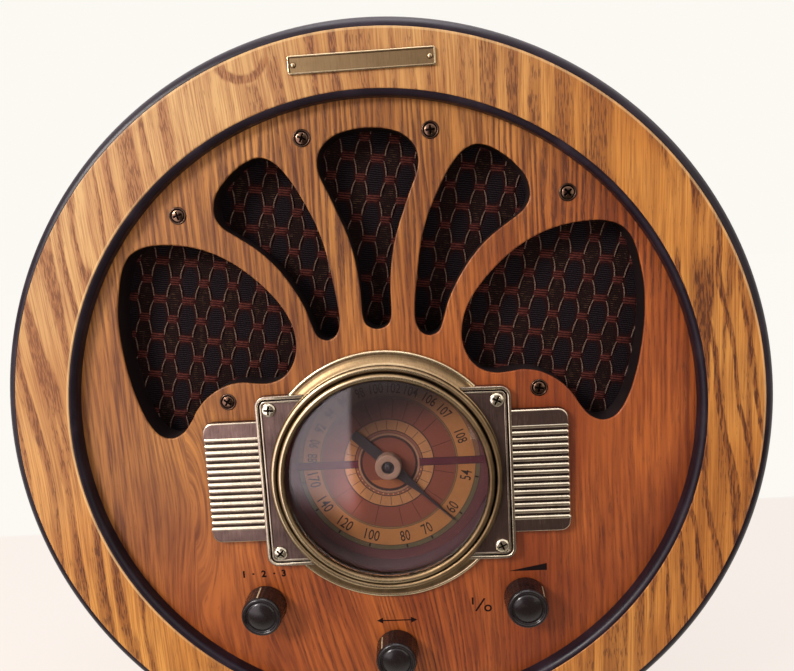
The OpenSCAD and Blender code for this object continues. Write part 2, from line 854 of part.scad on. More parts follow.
module cassette_pocket() {
    x0 = deck_x - door_t - pocket_t;
    color([0.16, 0.16, 0.17]) hinged() difference() {
        pocket_body(x0);
        translate([deck_x - barrel_r, 0, hinge_z]) bar_y(barrel_r, -pocket_l / 2 - 1, pocket_l / 2 + 1);
    }
}

module pocket_body(x0) {
    translate([x0, -pocket_l / 2, floor_z]) cube([pocket_t, pocket_l, pocket_wall]);
    for (side = [-1, 1]) {
        translate([x0, side * (pocket_l - pocket_wall) / 2 - pocket_wall / 2, floor_z])
            cube([pocket_t, pocket_wall, pocket_h]);
        translate([x0, side * (pocket_l / 2 - 4) - 4, floor_z]) cube([pocket_wall, 8, pocket_h]);
    }
}

module deck_key(y) {
    color([0.08, 0.08, 0.085]) deck() translate([0, y, key_z]) {
        slab_x(deck_x - bezel_t - 0.4, deck_x + key_travel) rounded(key_l, key_h, 1.5);
        slab_x(deck_x - bezel_t - 2, deck_x - bezel_t - 0.4) rounded(key_l + 4, key_h + 2, 1);
        slab_x(deck_x - bezel_t - 5, deck_x - bezel_t - 2) rounded(key_l - 6, key_h - 3, 1);
    }
}

module stop_key() {
    deck_key(KEYS[0]);
}

module forward_key() {
    deck_key(KEYS[1]);
}

module play_key() {
    deck_key(KEYS[2]);
}

module deck_plate() {
    color([0.65, 0.66, 0.68]) deck() difference() {
        union() {
            translate([plate_x0, -deck_l / 2, -48]) cube([plate_gauge, deck_l, 98]);
            for (side = [-1, 1]) translate([plate_x0, side * (deck_l / 2 - 1) - 1, -44])
                cube([deck_x - bezel_t - plate_x0, 2, 90]);
            for (y = GUIDES) translate([0, y, GUIDE_Z]) bar_x(1.4, plate_x0, plate_x0 + 7.8);
        }
        for (y = [-spindle_gap / 2, spindle_gap / 2])
            translate([0, y, spindle_z]) bar_x(2 + run, plate_x0 - 1, plate_x0 + 3);
        translate([0, capstan_y, capstan_z]) bar_x(2 + run, plate_x0 - 1, plate_x0 + 3);
    }
}

module spindle(y) {
    face = plate_x0 + plate_gauge;
    color([0.85, 0.85, 0.83]) deck() translate([0, y, spindle_z]) {
        bar_x(2, plate_x0 - 3, face + 0.5);
        bar_x(9, face + 0.4, face + 3);
        bar_x(2.6, face + 3, spindle_tip);
        for (a = [0 : 60 : 300]) rotate([a, 0, 0]) translate([face + 3, -0.5, 0])
            cube([spindle_tip - face - 5, 1, 3.6]);
        bar_x(4, plate_x0 - 3, plate_x0 - 0.4);
    }
}

module supply_spindle() {
    spindle(-spindle_gap / 2);
}

module takeup_spindle() {
    spindle(spindle_gap / 2);
}

module capstan_flywheel() {
    color([0.72, 0.66, 0.5]) deck() translate([0, capstan_y, capstan_z]) difference() {
        union() {
            bar_x(2, belt_x - 1.5, plate_x0 + plate_gauge + 1);
            bar_x(capstan_r, plate_x0, spindle_tip);
            bar_x(flywheel_r + 0.8, belt_x - 1.5, belt_x + 3.5);
        }
        difference() {
            bar_x(flywheel_r + 3, belt_x - 0.35, belt_x + belt_w + 0.35);
            bar_x(flywheel_r, belt_x - 2, belt_x + 4);
        }
    }
}

module motor_pulley() {
    color([0.8, 0.7, 0.4]) deck() translate([0, motor_y, motor_z]) difference() {
        bar_x(motor_pulley_r + 1.2, belt_x - 1.5, belt_x + 3.5);
        difference() {
            bar_x(motor_pulley_r + 3, belt_x - 0.35, belt_x + belt_w + 0.35);
            bar_x(motor_pulley_r, belt_x - 2, belt_x + 4);
        }
        bar_x(1 + run, belt_x - 3, belt_x + 1);
    }
}

module deck_motor() {
    face = belt_x - 4;
    color([0.6, 0.62, 0.65]) deck() translate([0, motor_y, motor_z]) {
        bar_x(14, face - 24, face);
        bar_x(3, face, face + 1);
        bar_x(1, face, belt_x + 0.5);
        for (a = [60, 0, -60]) rotate([a, 0, 0]) translate([0, 11, 0]) bar_x(1.6, face, plate_x0);
    }
}

module drive_belt() {
    reach = norm([motor_y - capstan_y, motor_z - capstan_z]);
    lean = atan2(motor_z - capstan_z, motor_y - capstan_y);
    color([0.1, 0.1, 0.1]) deck() translate([0, capstan_y, capstan_z]) slab_x(belt_x, belt_x + belt_w)
        rotate(lean + 90) difference() {
            loop(flywheel_r + 0.1 + belt_t, 0, motor_pulley_r + 0.1 + belt_t, -reach);
            loop(flywheel_r + 0.1, 0, motor_pulley_r + 0.1, -reach);
        }
}

module head_carriage() {
    x0 = plate_x0 + 5.5;
    color([0.7, 0.7, 0.7]) deck() {
        difference() {
            translate([x0, capstan_y - 7, roller_z - 4]) cube([1.5, 52, 17]);
            for (y = GUIDES) translate([x0 - 1, y - 1.7, GUIDE_Z - 1.7])
                cube([4, 3.4, carriage_travel + 3.4]);
        }
        translate([0, capstan_y, roller_z]) bar_x(1, x0, x0 + 11.5);
    }
}

module tape_head() {
    x0 = plate_x0 + 7;
    color("silver") deck() translate([x0, -5, 23.6]) difference() {
        cube([10, 10, 8]);
        translate([3, -1, -1]) cube([4, 12, 1.6]);
    }
}

module pinch_roller() {
    x0 = plate_x0 + 8.5;
    color([0.07, 0.07, 0.07]) deck() translate([0, capstan_y, roller_z]) difference() {
        bar_x(roller_r, x0, x0 + 7);
        bar_x(1 + run, x0 - 1, x0 + 8);
    }
}

cabinet_drum();
front_ring();
outer_bead();
inner_bead();
front_panel();
grille_cloth();
baffle_board();
base_plinth();
rubber_feet();
back_cover();
back_screws();
cord_gland();
nameplate();
panel_screws();
dial_plate();
plate_screws();
left_wing();
right_wing();
dial_bezel();
dial_glass();
dial_can();
dial_face();
dial_lamps();
pointer();
dial_pulley();
dial_cord();
tuning_gang();
tuning_rotor();
tuning_knob();
tuning_shaft();
band_knob();
band_shaft();
band_switch();
volume_knob();
volume_shaft();
volume_control();
circuit_board();
power_transformer();
left_speaker_basket();
left_speaker_cone();
right_speaker_basket();
right_speaker_cone();
deck_bezel();
cassette_door();
door_window();
cassette_pocket();
stop_key();
forward_key();
play_key();
deck_plate();
supply_spindle();
takeup_spindle();
capstan_flywheel();
deck_motor();
motor_pulley();
drive_belt();
head_carriage();
tape_head();
pinch_roller();
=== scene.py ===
"""Looks of a round oak table radio with a cassette player in its right side.

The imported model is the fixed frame. Sizes here are millimetres in the front frame (x to the
right, y into the cabinet, z up, its origin at the centre of the oak ring on the ring's front
face), and a piece's points become metres in the model's frame when its mesh is built.
"""
import json
import logging
import math
from dataclasses import dataclass
from typing import Mapping, Sequence

import bmesh
import bpy
import numpy as np
from mathutils import Matrix, Vector
from mathutils.geometry import delaunay_2d_cdt

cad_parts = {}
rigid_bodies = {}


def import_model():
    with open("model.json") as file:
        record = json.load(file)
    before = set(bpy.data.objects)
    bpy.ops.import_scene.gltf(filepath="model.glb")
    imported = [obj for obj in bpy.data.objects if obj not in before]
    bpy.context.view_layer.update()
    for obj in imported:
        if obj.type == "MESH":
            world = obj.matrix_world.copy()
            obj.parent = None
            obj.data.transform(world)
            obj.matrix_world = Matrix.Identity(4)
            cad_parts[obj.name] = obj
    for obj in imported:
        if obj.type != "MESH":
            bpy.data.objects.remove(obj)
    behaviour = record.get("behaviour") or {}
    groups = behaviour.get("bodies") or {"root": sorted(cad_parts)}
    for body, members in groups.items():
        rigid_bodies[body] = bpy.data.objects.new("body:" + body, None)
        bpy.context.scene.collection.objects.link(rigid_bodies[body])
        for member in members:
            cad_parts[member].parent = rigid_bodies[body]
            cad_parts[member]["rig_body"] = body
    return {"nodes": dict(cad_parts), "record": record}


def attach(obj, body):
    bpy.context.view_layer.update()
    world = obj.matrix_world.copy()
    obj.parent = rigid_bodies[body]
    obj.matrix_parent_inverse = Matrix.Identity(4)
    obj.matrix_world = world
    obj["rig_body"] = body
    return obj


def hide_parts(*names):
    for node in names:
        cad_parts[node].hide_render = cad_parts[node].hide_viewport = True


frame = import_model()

LOG = logging.getLogger("radio")
Array = np.ndarray
Tone = tuple[float, float, float, float]
MM = 0.001
ORIGIN = np.array([0.0, -82.05, 174.0])
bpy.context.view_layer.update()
SLOT_OF = {}
DIAL_Z = -27.8
DIAL_HOLE = 50.6
PANEL_Y = 6.6
SHEET_RADIUS = 150.5
SHEET_CUT = -148.7
BAND_SPOT = (-61.0, -89.3)
TUNING_SPOT = (0.0, -113.5)
VOLUME_SPOT = (61.0, -89.3)
MERGE = 2e-6
SHARP = 38.0
CORNER_STEPS = 9


def tone(red: float, green: float, blue: float) -> Tone:
    """An sRGB colour as the linear colour that a shader takes.

    Args:
        red: The red channel, 0 to 255, and green and blue likewise.

    Returns:
        Red, green and blue, 0 to 1, and the alpha 1.
    """
    c = np.array([red, green, blue]) / 255.0
    c = np.where(c <= 0.04045, c / 12.92, ((c + 0.055) / 1.055) ** 2.4)
    return (float(c[0]), float(c[1]), float(c[2]), 1.0)


# Shader maths


class Value:
    """A node's output socket, whose arithmetic adds Math nodes."""

    def __init__(self, graph: "Graph", socket: bpy.types.NodeSocket) -> None:
        """Keeps the socket and the graph that it belongs to."""
        self.graph = graph
        self.socket = socket

    def __add__(self, other: "Value | float") -> "Value":
        """The sum."""
        return self.graph.math("ADD", self, other)

    def __radd__(self, other: float) -> "Value":
        """The sum, from the right."""
        return self.graph.math("ADD", other, self)

    def __sub__(self, other: "Value | float") -> "Value":
        """The difference."""
        return self.graph.math("SUBTRACT", self, other)

    def __rsub__(self, other: float) -> "Value":
        """The difference, from the right."""
        return self.graph.math("SUBTRACT", other, self)

    def __mul__(self, other: "Value | float") -> "Value":
        """The product."""
        return self.graph.math("MULTIPLY", self, other)

    def __rmul__(self, other: float) -> "Value":
        """The product, from the right."""
        return self.graph.math("MULTIPLY", other, self)

    def __truediv__(self, other: "Value | float") -> "Value":
        """The quotient."""
        return self.graph.math("DIVIDE", self, other)

    def __pow__(self, other: float) -> "Value":
        """The power."""
        return self.graph.math("POWER", self, other)

    def least(self, other: "Value | float") -> "Value":
        """The smaller of the two."""
        return self.graph.math("MINIMUM", self, other)

    def most(self, other: "Value | float") -> "Value":
        """The larger of the two."""
        return self.graph.math("MAXIMUM", self, other)

    def size(self) -> "Value":
        """The value without its sign."""
        return self.graph.math("ABSOLUTE", self)

    def part(self) -> "Value":
        """The value's fraction, 0 to 1."""
        return self.graph.math("FRACT", self)

    def root(self) -> "Value":
        """The square root."""
        return self.graph.math("SQRT", self)

    def wave(self) -> "Value":
        """The sine."""
        return self.graph.math("SINE", self)

    def rise(self, low: "Value | float", high: "Value | float") -> "Value":
        """0 below low and 1 above high, with a smooth step between."""
        return self.graph.add(
            "ShaderNodeMapRange", {"interpolation_type": "SMOOTHSTEP"},
            {0: self, 1: low, 2: high, 3: 0.0, 4: 1.0},
        )

    def hump(self, middle: float, half: float, soft: float) -> "Value":
        """1 within half of middle, and 0 further than soft beyond that."""
        return 1.0 - (self - middle).size().rise(half, half + soft)


class Graph:
    """The nodes of one material or world."""

    def __init__(self, owner: bpy.types.ID) -> None:
        """Clears the owner's nodes.

        Args:
            owner: The material or world that the nodes belong to.
        """
        owner.use_nodes = True
        self.tree = owner.node_tree
        self.tree.nodes.clear()

    def add(
        self,
        kind: str,
        settings: Mapping[str, object] | None = None,
        sockets: Mapping[int | str, object] | None = None,
        output: int | str = 0,
    ) -> Value:
        """Adds a node.

        Args:
            kind: The node's type.
            settings: The node's own properties, set first. "stops" holds a ramp's stops, and
                "steps" says how it goes from one to the next.
            sockets: A value or a link for each input socket, by name or place.
            output: The output that is returned.

        Returns:
            The output socket.
        """
        node = self.tree.nodes.new(kind)
        for key, value in (settings or {}).items():
            if key == "stops":
                elements = node.color_ramp.elements
                elements.remove(elements[1])
                elements[0].position, elements[0].color = value[0]
                for place, colour in value[1:]:
                    elements.new(place).color = colour
            elif key == "steps":
                node.color_ramp.interpolation = value
            else:
                setattr(node, key, value)
        for key, value in (sockets or {}).items():
            if isinstance(value, Value):
                self.tree.links.new(value.socket, node.inputs[key])
            else:
                node.inputs[key].default_value = value
        return Value(self, node.outputs[output] if len(node.outputs) else None)

    def math(self, operation: str, *values: Value | float) -> Value:
        """A Math node on one or two values."""
        return self.add("ShaderNodeMath", {"operation": operation}, dict(enumerate(values)))

    def mix(self, share: Value | float, low: Value | Tone, high: Value | Tone, blend: str = "MIX") -> Value:
        """Mixes two colours, low at share 0 and high at share 1."""
        settings = {"data_type": "RGBA", "blend_type": blend, "clamp_factor": True}
        return self.add("ShaderNodeMix", settings, {0: share, 6: low, 7: high}, 2)

    def ramp(self, value: Value, stops: Sequence[tuple[float, Tone]], steps: str = "LINEAR") -> Value:
        """A colour ramp along a value."""
        return self.add("ShaderNodeValToRGB", {"stops": stops, "steps": steps}, {0: value})

    def vector(self, x: Value | float, y: Value | float, z: Value | float) -> Value:
        """Three numbers as one vector."""
        return self.add("ShaderNodeCombineXYZ", None, {0: x, 1: y, 2: z})

    def noise(self, place: Value, scale: float, detail: float = 2.0, rough: float = 0.5) -> Value:
        """Soft noise about 0.5, finer as scale grows."""
        return self.add(
            "ShaderNodeTexNoise", None,
            {"Vector": place, "Scale": scale, "Detail": detail, "Roughness": rough},
        )

    def parts(self, vector: Value) -> tuple[Value, Value, Value]:
        """A vector's three numbers."""
        node = self.add("ShaderNodeSeparateXYZ", None, {0: vector}).socket.node
        return Value(self, node.outputs[0]), Value(self, node.outputs[1]), Value(self, node.outputs[2])

    def place(self) -> tuple[Value, Value, Value]:
        """A point's x, y and z in the front frame, in millimetres."""
        x, y, z = self.parts(self.add("ShaderNodeTexCoord", None, None, "Object"))
        return x * 1000.0, y * 1000.0 - float(ORIGIN[1]), z * 1000.0 - float(ORIGIN[2])

    def mark(self, name: str) -> Value:
        """A number kept on the mesh's points."""
        return self.add("ShaderNodeAttribute", {"attribute_name": name}, None, "Fac")

    def bump(self, height: Value, distance: float, strength: float = 1.0) -> Value:
        """The normal of a surface raised by height times distance, in metres."""
        sockets = {"Strength": strength, "Distance": distance, "Height": height}
        return self.add("ShaderNodeBump", None, sockets)

    def close(self, **sockets: object) -> None:
        """Ends a material in one Principled shader.

        Args:
            sockets: The shader's sockets, with _ for the spaces in their names.
        """
        named = {key.replace("_", " "): value for key, value in sockets.items()}
        shader = self.add("ShaderNodeBsdfPrincipled", None, named)
        self.add("ShaderNodeOutputMaterial", None, {"Surface": shader})


@dataclass(frozen=True)
class Finish:
    """A finish, which makes its material once."""

    name: str

    def material(self) -> bpy.types.Material:
        """The finish's material."""
        found = bpy.data.materials.get(self.name)
        if found is None:
            found = bpy.data.materials.new(self.name)
            self.paint(Graph(found))
        return found

    def paint(self, g: Graph) -> None:
        """Adds the finish's nodes."""
        raise NotImplementedError


@dataclass(frozen=True)
class Oak(Finish):
    """Varnished oak: streaks made of short pore marks, fine fibres and cloudy tone.

    The first tone of each pair is for the board's left, the second for its darker right: painted
    light and shade, lit at the upper left and shaded towards the lower right. A patch has its
    middle, half width, half height and strength.
    """

    pale: tuple[Tone, Tone]
    warm: tuple[Tone, Tone]
    streak: tuple[Tone, Tone]
    pore: tuple[Tone, Tone]
    period: float = 9.0
    lean: float = 0.1
    drift: float = 14.0
    sway: float = 0.007
    wander: float = 2.2
    band_strength: float = 0.5
    fibre_strength: float = 0.3
    fibre_scale: float = 1.5
    pore_strength: float = 0.7
    # Slope, lit end and shaded end of the painted light and shade across the board.
    ageing: tuple[float, float, float] = (0.8, -220.0, 0.0)
    figures: tuple[tuple[float, float, float, float, float], ...] = ()

    def lie(self, g: Graph, x: Value, y: Value, z: Value) -> tuple[Value, Value, Value]:
        """Across the grain, along it and into the board: upright on the front."""
        return x, z, y

    def flow(self, g: Graph, across: Value, along: Value, deep: Value) -> Value:
        """The place across the grain once it leans and drifts slowly to and fro."""
        slow = g.noise(g.vector(across * 0.016, along * self.sway, deep * 0.01), 1.0, 2.0)
        return across + along * self.lean + (slow - 0.5) * self.drift

    def bands(self, g: Graph, u: Value, across: Value, along: Value, deep: Value) -> Value:
        """0 to 1 in the growth rings' dark part: the fraction of u over an uneven period.

        Args:
            g: The material's nodes.
            u: The place across the grain, once it drifts.
            across: The place across the grain; not used here.
            along: The place along it.
            deep: The place into the board.

        Returns:
            How far a point is in a dark band.
        """
        wander = g.noise(g.vector(u * 0.09, along * 0.009, deep * 0.05), 1.0, 2.0)
        turn = (u / self.period + wander * self.wander).part()
        ring = turn.rise(0.3, 0.72) * (1.0 - turn.rise(0.86, 1.0))
        patchy = g.noise(g.vector(u * 0.035, along * 0.01, deep * 0.02 + 3.0), 1.0, 2.0).rise(0.36, 0.6)
        return ring * (0.4 + patchy * 0.6)

    def pored(self, g: Graph, pores: Value, across: Value, along: Value) -> Value:
        """The pore marks as they are, for a kind of oak to add its own."""
        return pores

    def worn(self, g: Graph, colour: Value, across: Value, along: Value) -> Value:
        """The colour as it is, for a kind of oak to paint highlights on its edges."""
        return colour

    def figured(
        self, g: Graph, colour: Value, dark: Value, pale: Value, across: Value, along: Value
    ) -> Value:
        """The colour with darker and paler patches: partly the wood's own tone, partly painted shade and
        light.

        Args:
            g: The material's nodes.
            colour: The oak's colour before its patches.
            dark: The tone of a patch whose strength is above 0.
            pale: The tone of the others.
            across: The place across the grain.
            along: The place along it.

        Returns:
            The colour with the patches laid over it.
        """
        # Darker and paler patches: partly the wood's tone, partly painted shade and light.
        for x0, z0, wide, high, strength in self.figures:
            far = (((across - x0) / wide) ** 2.0 + ((along - z0) / high) ** 2.0).root()
            share = (1.0 - far.rise(0.2, 1.0)) * abs(strength)
            colour = g.mix(share, colour, dark if strength > 0.0 else pale)
        return colour

    def paint(self, g: Graph) -> None:
        """Adds the oak's nodes.

        Formula: pores are noise squeezed across the grain and stretched along it, cut at a
        level that falls in the bands, so that the bands are made of pore marks. Fibres are a
        finer noise, and clouds a broad one.
        """
        x, y, z = g.place()
        across, along, deep = self.lie(g, x, y, z)
        u = self.flow(g, across, along, deep)
        bands = self.bands(g, u, across, along, deep)
        fibre = g.noise(g.vector(u * self.fibre_scale, along * 0.03, deep * 1.2), 1.0, 3.0, 0.6)
        broad = g.noise(g.vector(u * 0.3, along * 0.012, deep * 0.3), 1.0, 2.0)
        cloud = g.noise(g.vector(u * 0.02, along * 0.011, deep * 0.01), 1.0, 3.0)
        dash = g.noise(g.vector(u * 1.9, along * 0.17, deep * 1.9), 1.0, 2.0, 0.5)
        level = 0.64 - bands * 0.19
        pores = self.pored(g, dash.rise(level, level + 0.08), across, along)
        # Painted light and shade: the tones go from the lit upper left to the shaded lower right.
        slope, lit_end, shaded_end = self.ageing
        painted_shade_share = (across * slope - along).rise(lit_end, shaded_end)
        pairs = (self.pale, self.warm, self.streak, self.pore)
        pale, warm, streak, pore = (g.mix(painted_shade_share, *pair) for pair in pairs)
        colour = g.mix(cloud.rise(0.36, 0.64), pale, warm)
        fibres = broad.rise(0.38, 0.68) * 0.8 + fibre.rise(0.4, 0.64) * 1.2
        colour = g.mix(fibres * self.fibre_strength * (1.2 - painted_shade_share * 0.3), colour, streak)
        colour = g.mix(bands * self.band_strength, colour, streak)
        colour = g.mix(pores * (0.35 + bands * 0.65) * self.pore_strength, colour, pore)
        colour = self.figured(g, colour, streak, pale, across, along)
        colour = self.worn(g, colour, across, along)
        height = (1.0 - pores) * 0.7 + fibre * 0.3
        rough = 0.4 + pores * 0.2 + (fibre - 0.5) * 0.12
        g.close(
            Base_Color=colour, Roughness=rough, Coat_Weight=0.08, Coat_Roughness=0.3,
            Specular_IOR_Level=0.26, Normal=g.bump(height, 0.00008, 0.8),
        )


@dataclass(frozen=True)
class RingOak(Oak):
    """The front ring's oak: an arch at the top left, broad streaks and a calm stretch at the right.

    Each of the broad streaks has its place across, its half width and its strength.
    """

    arch: tuple[float, float] = (-49.5, 158.0)
    arch_radius: float = 10.0
    calm: tuple[float, float] = (117.0, 96.0)
    broad_streaks: tuple[tuple[float, float, float], ...] = (
        (28.0, 1.6, 0.5), (41.0, 1.2, 0.5), (51.5, 3.0, 0.75),
        (62.0, 1.4, 0.9), (82.0, 2.8, 0.68), (96.5, 3.2, 0.74),
    )
    cracks: tuple[tuple[float, float], ...] = ((109.3, 0.1), (116.4, 0.0))

    def flow(self, g: Graph, across: Value, along: Value, deep: Value) -> Value:
        """The place across the grain, which leans at the top left and stands upright at the right."""
        slow = g.noise(g.vector(across * 0.016, along * self.sway, deep * 0.01), 1.0, 2.0)
        leaning = (1.0 - across.rise(-60.0, 40.0)) * (0.3 + along.rise(-60.0, 60.0) * 0.7)
        return across + along * leaning * self.lean + (slow - 0.5) * self.drift

    def bands(self, g: Graph, u: Value, across: Value, along: Value, deep: Value) -> Value:
        """The rings' dark part, with the arch drawn as part of an ellipse and the calm spot clear."""
        plain = super().bands(g, u, across, along, deep)
        x0, z0 = self.arch
        loose = g.noise(g.vector(across * 0.12, along * 0.12, deep), 1.0, 2.0)
        slant = across - (along - z0) * 0.1
        near = ((slant - x0) ** 2.0 + ((along - z0) * 1.1) ** 2.0).root() + (loose - 0.5) * 3.0
        low = 1.0 - along.rise(z0 - 3.0, z0 + 1.0)
        arch = near.hump(self.arch_radius, 1.1, 1.8) * low
        clear = (((across - x0 + 13.0) * 0.8) ** 2.0 + ((along - z0 + 22.0) * 0.6) ** 2.0).root()
        beyond_arch = near.rise(self.arch_radius, self.arch_radius + 5.0)
        plain = plain * beyond_arch * (0.15 + 0.85 * clear.rise(8.0, 16.0))
        plain = plain * (0.6 + 0.4 * along.rise(-125.0, -60.0))
        wavy = g.noise(g.vector(across * 0.03, along * 0.014, deep), 1.0, 2.0)
        ragged = g.noise(g.vector(across * 0.7, along * 0.07, deep), 1.0, 3.0)
        turn = ((across + along * 0.13 + wavy * 16.0 + ragged * 2.4) / 8.4).part()
        right = turn.hump(0.5, 0.09, 0.1) * across.rise(114.0, 126.0) * (0.6 + ragged.rise(0.35, 0.6) * 0.5)
        x1, z1 = self.calm
        rest = (((across - x1) * 0.9 + (along - z1) * 0.5) ** 2.0 + ((along - z1) * 0.35) ** 2.0).root()
        marked = (plain.most(right) * (0.12 + 0.88 * rest.rise(8.0, 15.0))).most(arch * 0.9)
        edge = g.noise(g.vector(across * 0.6, along * 0.05, 0.0), 1.0, 3.0) - 0.5
        place = across - along * 0.02 + 2.0 + edge * 3.0
        above = along.rise(84.0, 100.0)
        for at, half, strength in self.broad_streaks:
            marked = marked.most(place.hump(at, half, 1.2) * above * strength)
        return marked

    def pored(self, g: Graph, pores: Value, across: Value, along: Value) -> Value:
        """The pore marks, with two fine cracks in the calm stretch."""
        height = along.hump(98.0, 6.0, 4.0)
        for at, lean in self.cracks:
            pores = pores.most((across - (along - 98.0) * lean).hump(at, 0.1, 0.35) * height * 0.9)
        return pores

    def worn(self, g: Graph, colour: Value, across: Value, along: Value) -> Value:
        """The colour with painted highlights on the outer edge at the top and the inner edge at the left,
        where the eased edges catch the light.
        """
        r = (across * across + along * along).root()
        # Painted highlights: pale lines along the eased edges.
        outer = r.hump(166.4, 0.5, 0.5) * (along + across * 0.6).rise(20.0, 130.0)
        inner = r.hump(142.4, 0.35, 0.4) * (0.0 - across).rise(70.0, 130.0)
        return g.mix((outer * 0.3).most(inner * 0.4), colour, tone(240, 204, 150))


@dataclass(frozen=True)
class PanelOak(Oak):
    """The panel's oak: fine and upright, but leaning below the dial and oval at the left."""

    leaning: float = 0.24
    oval: tuple[float, float] = (-92.0, -38.0)

    def flow(self, g: Graph, across: Value, along: Value, deep: Value) -> Value:
        """The place across the grain, bent as an ellipse at the left and sheared below the dial."""
        u = super().flow(g, across, along, deep)
        below = (along + 62.0).least(0.0) * (1.0 - across.rise(-5.0, 60.0)) * across.rise(-80.0, -45.0)
        x0, z0 = self.oval
        near = ((across - x0) ** 2.0 + ((along - z0) * 0.3) ** 2.0).root()
        share = 1.0 - near.rise(10.0, 32.0)
        return u + below * self.leaning + (near - (across - x0).size()) * share * 0.8

    def bands(self, g: Graph, u: Value, across: Value, along: Value, deep: Value) -> Value:
        """The rings' dark part, strongest below the dial."""
        plain = super().bands(g, u, across, along, deep)
        below = (1.0 - along.rise(-90.0, -58.0)) * (1.0 - across.rise(20.0, 70.0)) * across.rise(-90.0, -50.0)
        corner = along.rise(40.0, 90.0) * across.rise(50.0, 100.0)
        calm = across.hump(self.oval[0], 22.0, 16.0) * (1.0 - along.rise(-30.0, 0.0))
        softer = across.rise(-115.0, -45.0) * 0.5 + 0.5
        strength = 0.48 + along.rise(20.0, 90.0) * 0.67 + below * 0.35 - calm * 0.35
        return (plain * strength * softer + corner * 0.3).least(1.0)


@dataclass(frozen=True)
class DrumOak(Oak):
    """The case's oak, bent round the drum with its grain running round it."""

    bend: float = 169.0

    def lie(self, g: Graph, x: Value, y: Value, z: Value) -> tuple[Value, Value, Value]:
        """Across the grain is front to back, and along it is the way round."""
        return y, g.math("ARCTAN2", x, z) * self.bend, (x * x + z * z).root()


@dataclass(frozen=True)
class Lacquer(Finish):
    """Brushed black lacquer over wood, with a faint ripple and rubbed patches."""

    colour: Tone
    rubbed: Tone
    roughness: float = 0.36
    coat: float = 0.12
    ripple: float = 0.00006

    def paint(self, g: Graph) -> None:
        """Adds the lacquer's nodes: slow ripple for the height and cloudy noise for the tone."""
        x, y, z = g.place()
        cloud = g.noise(g.vector(x, y, z), 0.05, 4.0, 0.6)
        fine = g.noise(g.vector(x, y, z), 1.4, 3.0)
        wear = cloud.rise(0.45, 0.75) * 0.6 + fine.rise(0.55, 0.8) * 0.25
        height = g.noise(g.vector(x, y, z), 0.35, 2.0) + fine * 0.25
        g.close(
            Base_Color=g.mix(wear, self.colour, self.rubbed),
            Roughness=self.roughness + wear * 0.18, Coat_Weight=self.coat, Coat_Roughness=0.2,
            Specular_IOR_Level=0.24, Normal=g.bump(height, self.ripple),
        )


@dataclass(frozen=True)
class Brass(Finish):
    """Antique brass: bright where it is rubbed, dark brown where the stain stays."""

    hollow: Tone = tone(30, 22, 18)
    field: Tone = tone(158, 132, 96)
    bright: Tone = tone(255, 238, 196)
    patchy: float = 0.3
    grain: float = 1.0
    dullest: float = 0.46
    glossiest: float = 0.2

    def paint(self, g: Graph) -> None:
        """Adds the brass's nodes.

        Formula: the tone follows the wear number kept on the mesh, moved by cloudy patches and
        by upright brushing marks. On the flange, the bezel and the wing ribs the wear number also
        holds painted highlight and shade.
        """
        x, y, z = g.place()
        wear = g.mark("wear")
        cloud = g.noise(g.vector(x, y, z), 0.09, 4.0, 0.62)
        brushed = g.noise(g.vector(x * 1.6, y * 1.2, z * 0.12), 1.0, 3.0, 0.7)
        speck = g.noise(g.vector(x, y, z), 2.2, 2.0)
        level = wear + (cloud - 0.5) * self.patchy + (brushed - 0.5) * 0.26 * self.grain
        level = level - speck.rise(0.64, 0.8) * 0.12
        colour = g.ramp(level, [(0.0, self.hollow), (0.42, self.field), (1.0, self.bright)])
        rough = self.dullest - level.rise(0.0, 1.0) * (self.dullest - self.glossiest) + (speck - 0.5) * 0.1
        height = brushed * 0.6 + speck * 0.4
        g.close(Base_Color=colour, Metallic=1.0, Roughness=rough, Normal=g.bump(height, 0.00003, 0.6))


@dataclass(frozen=True)
class Metal(Finish):
    """Plated or cast metal with fine scratches and dull spots."""

    colour: Tone
    dull: Tone
    roughness: float = 0.32
    scratch: float = 1.0

    def paint(self, g: Graph) -> None:
        """Adds the metal's nodes: stretched noise for scratches and cloudy noise for dull spots."""
        x, y, z = g.place()
        cloud = g.noise(g.vector(x, y, z), 0.16, 4.0, 0.6)
        lines = g.noise(g.vector(x * 2.5, y * 2.5, z * 0.2), 1.0, 2.0, 0.6)
        dull = cloud.rise(0.4, 0.72) * 0.6
        g.close(
            Base_Color=g.mix(dull, self.colour, self.dull), Metallic=1.0,
            Roughness=self.roughness + dull * 0.16 + (lines - 0.5) * 0.1,
            Normal=g.bump(lines + cloud * 0.3, 0.00003 * self.scratch, 0.6),
        )


@dataclass(frozen=True)
class Moulding(Finish):
    """Moulded plastic or rubber with a fine surface texture, scuffs and dust."""

    colour: Tone
    scuffed: Tone
    roughness: float = 0.4
    texture: float = 0.00005
    texture_scale: float = 2.4
    coat: float = 0.0
    shine: float = 0.5

    def paint(self, g: Graph) -> None:
        """Adds the moulding's nodes: fine noise for the texture and broad noise for scuffs."""
        x, y, z = g.place()
        place = g.vector(x, y, z)
        fine = g.noise(place, self.texture_scale, 2.0)
        scuff = g.noise(g.vector(x * 0.5, y * 1.5, z * 0.4), 0.5, 5.0, 0.7).rise(0.52, 0.78)
        cloud = g.noise(place, 0.05, 3.0)
        g.close(
            Base_Color=g.mix(scuff * 0.5 + (cloud - 0.5) * 0.3, self.colour, self.scuffed),
            Roughness=self.roughness + scuff * 0.14 + (fine - 0.5) * 0.12,
            Coat_Weight=self.coat, Coat_Roughness=0.12, Specular_IOR_Level=self.shine,
            Normal=g.bump(fine, self.texture, 0.8),
        )


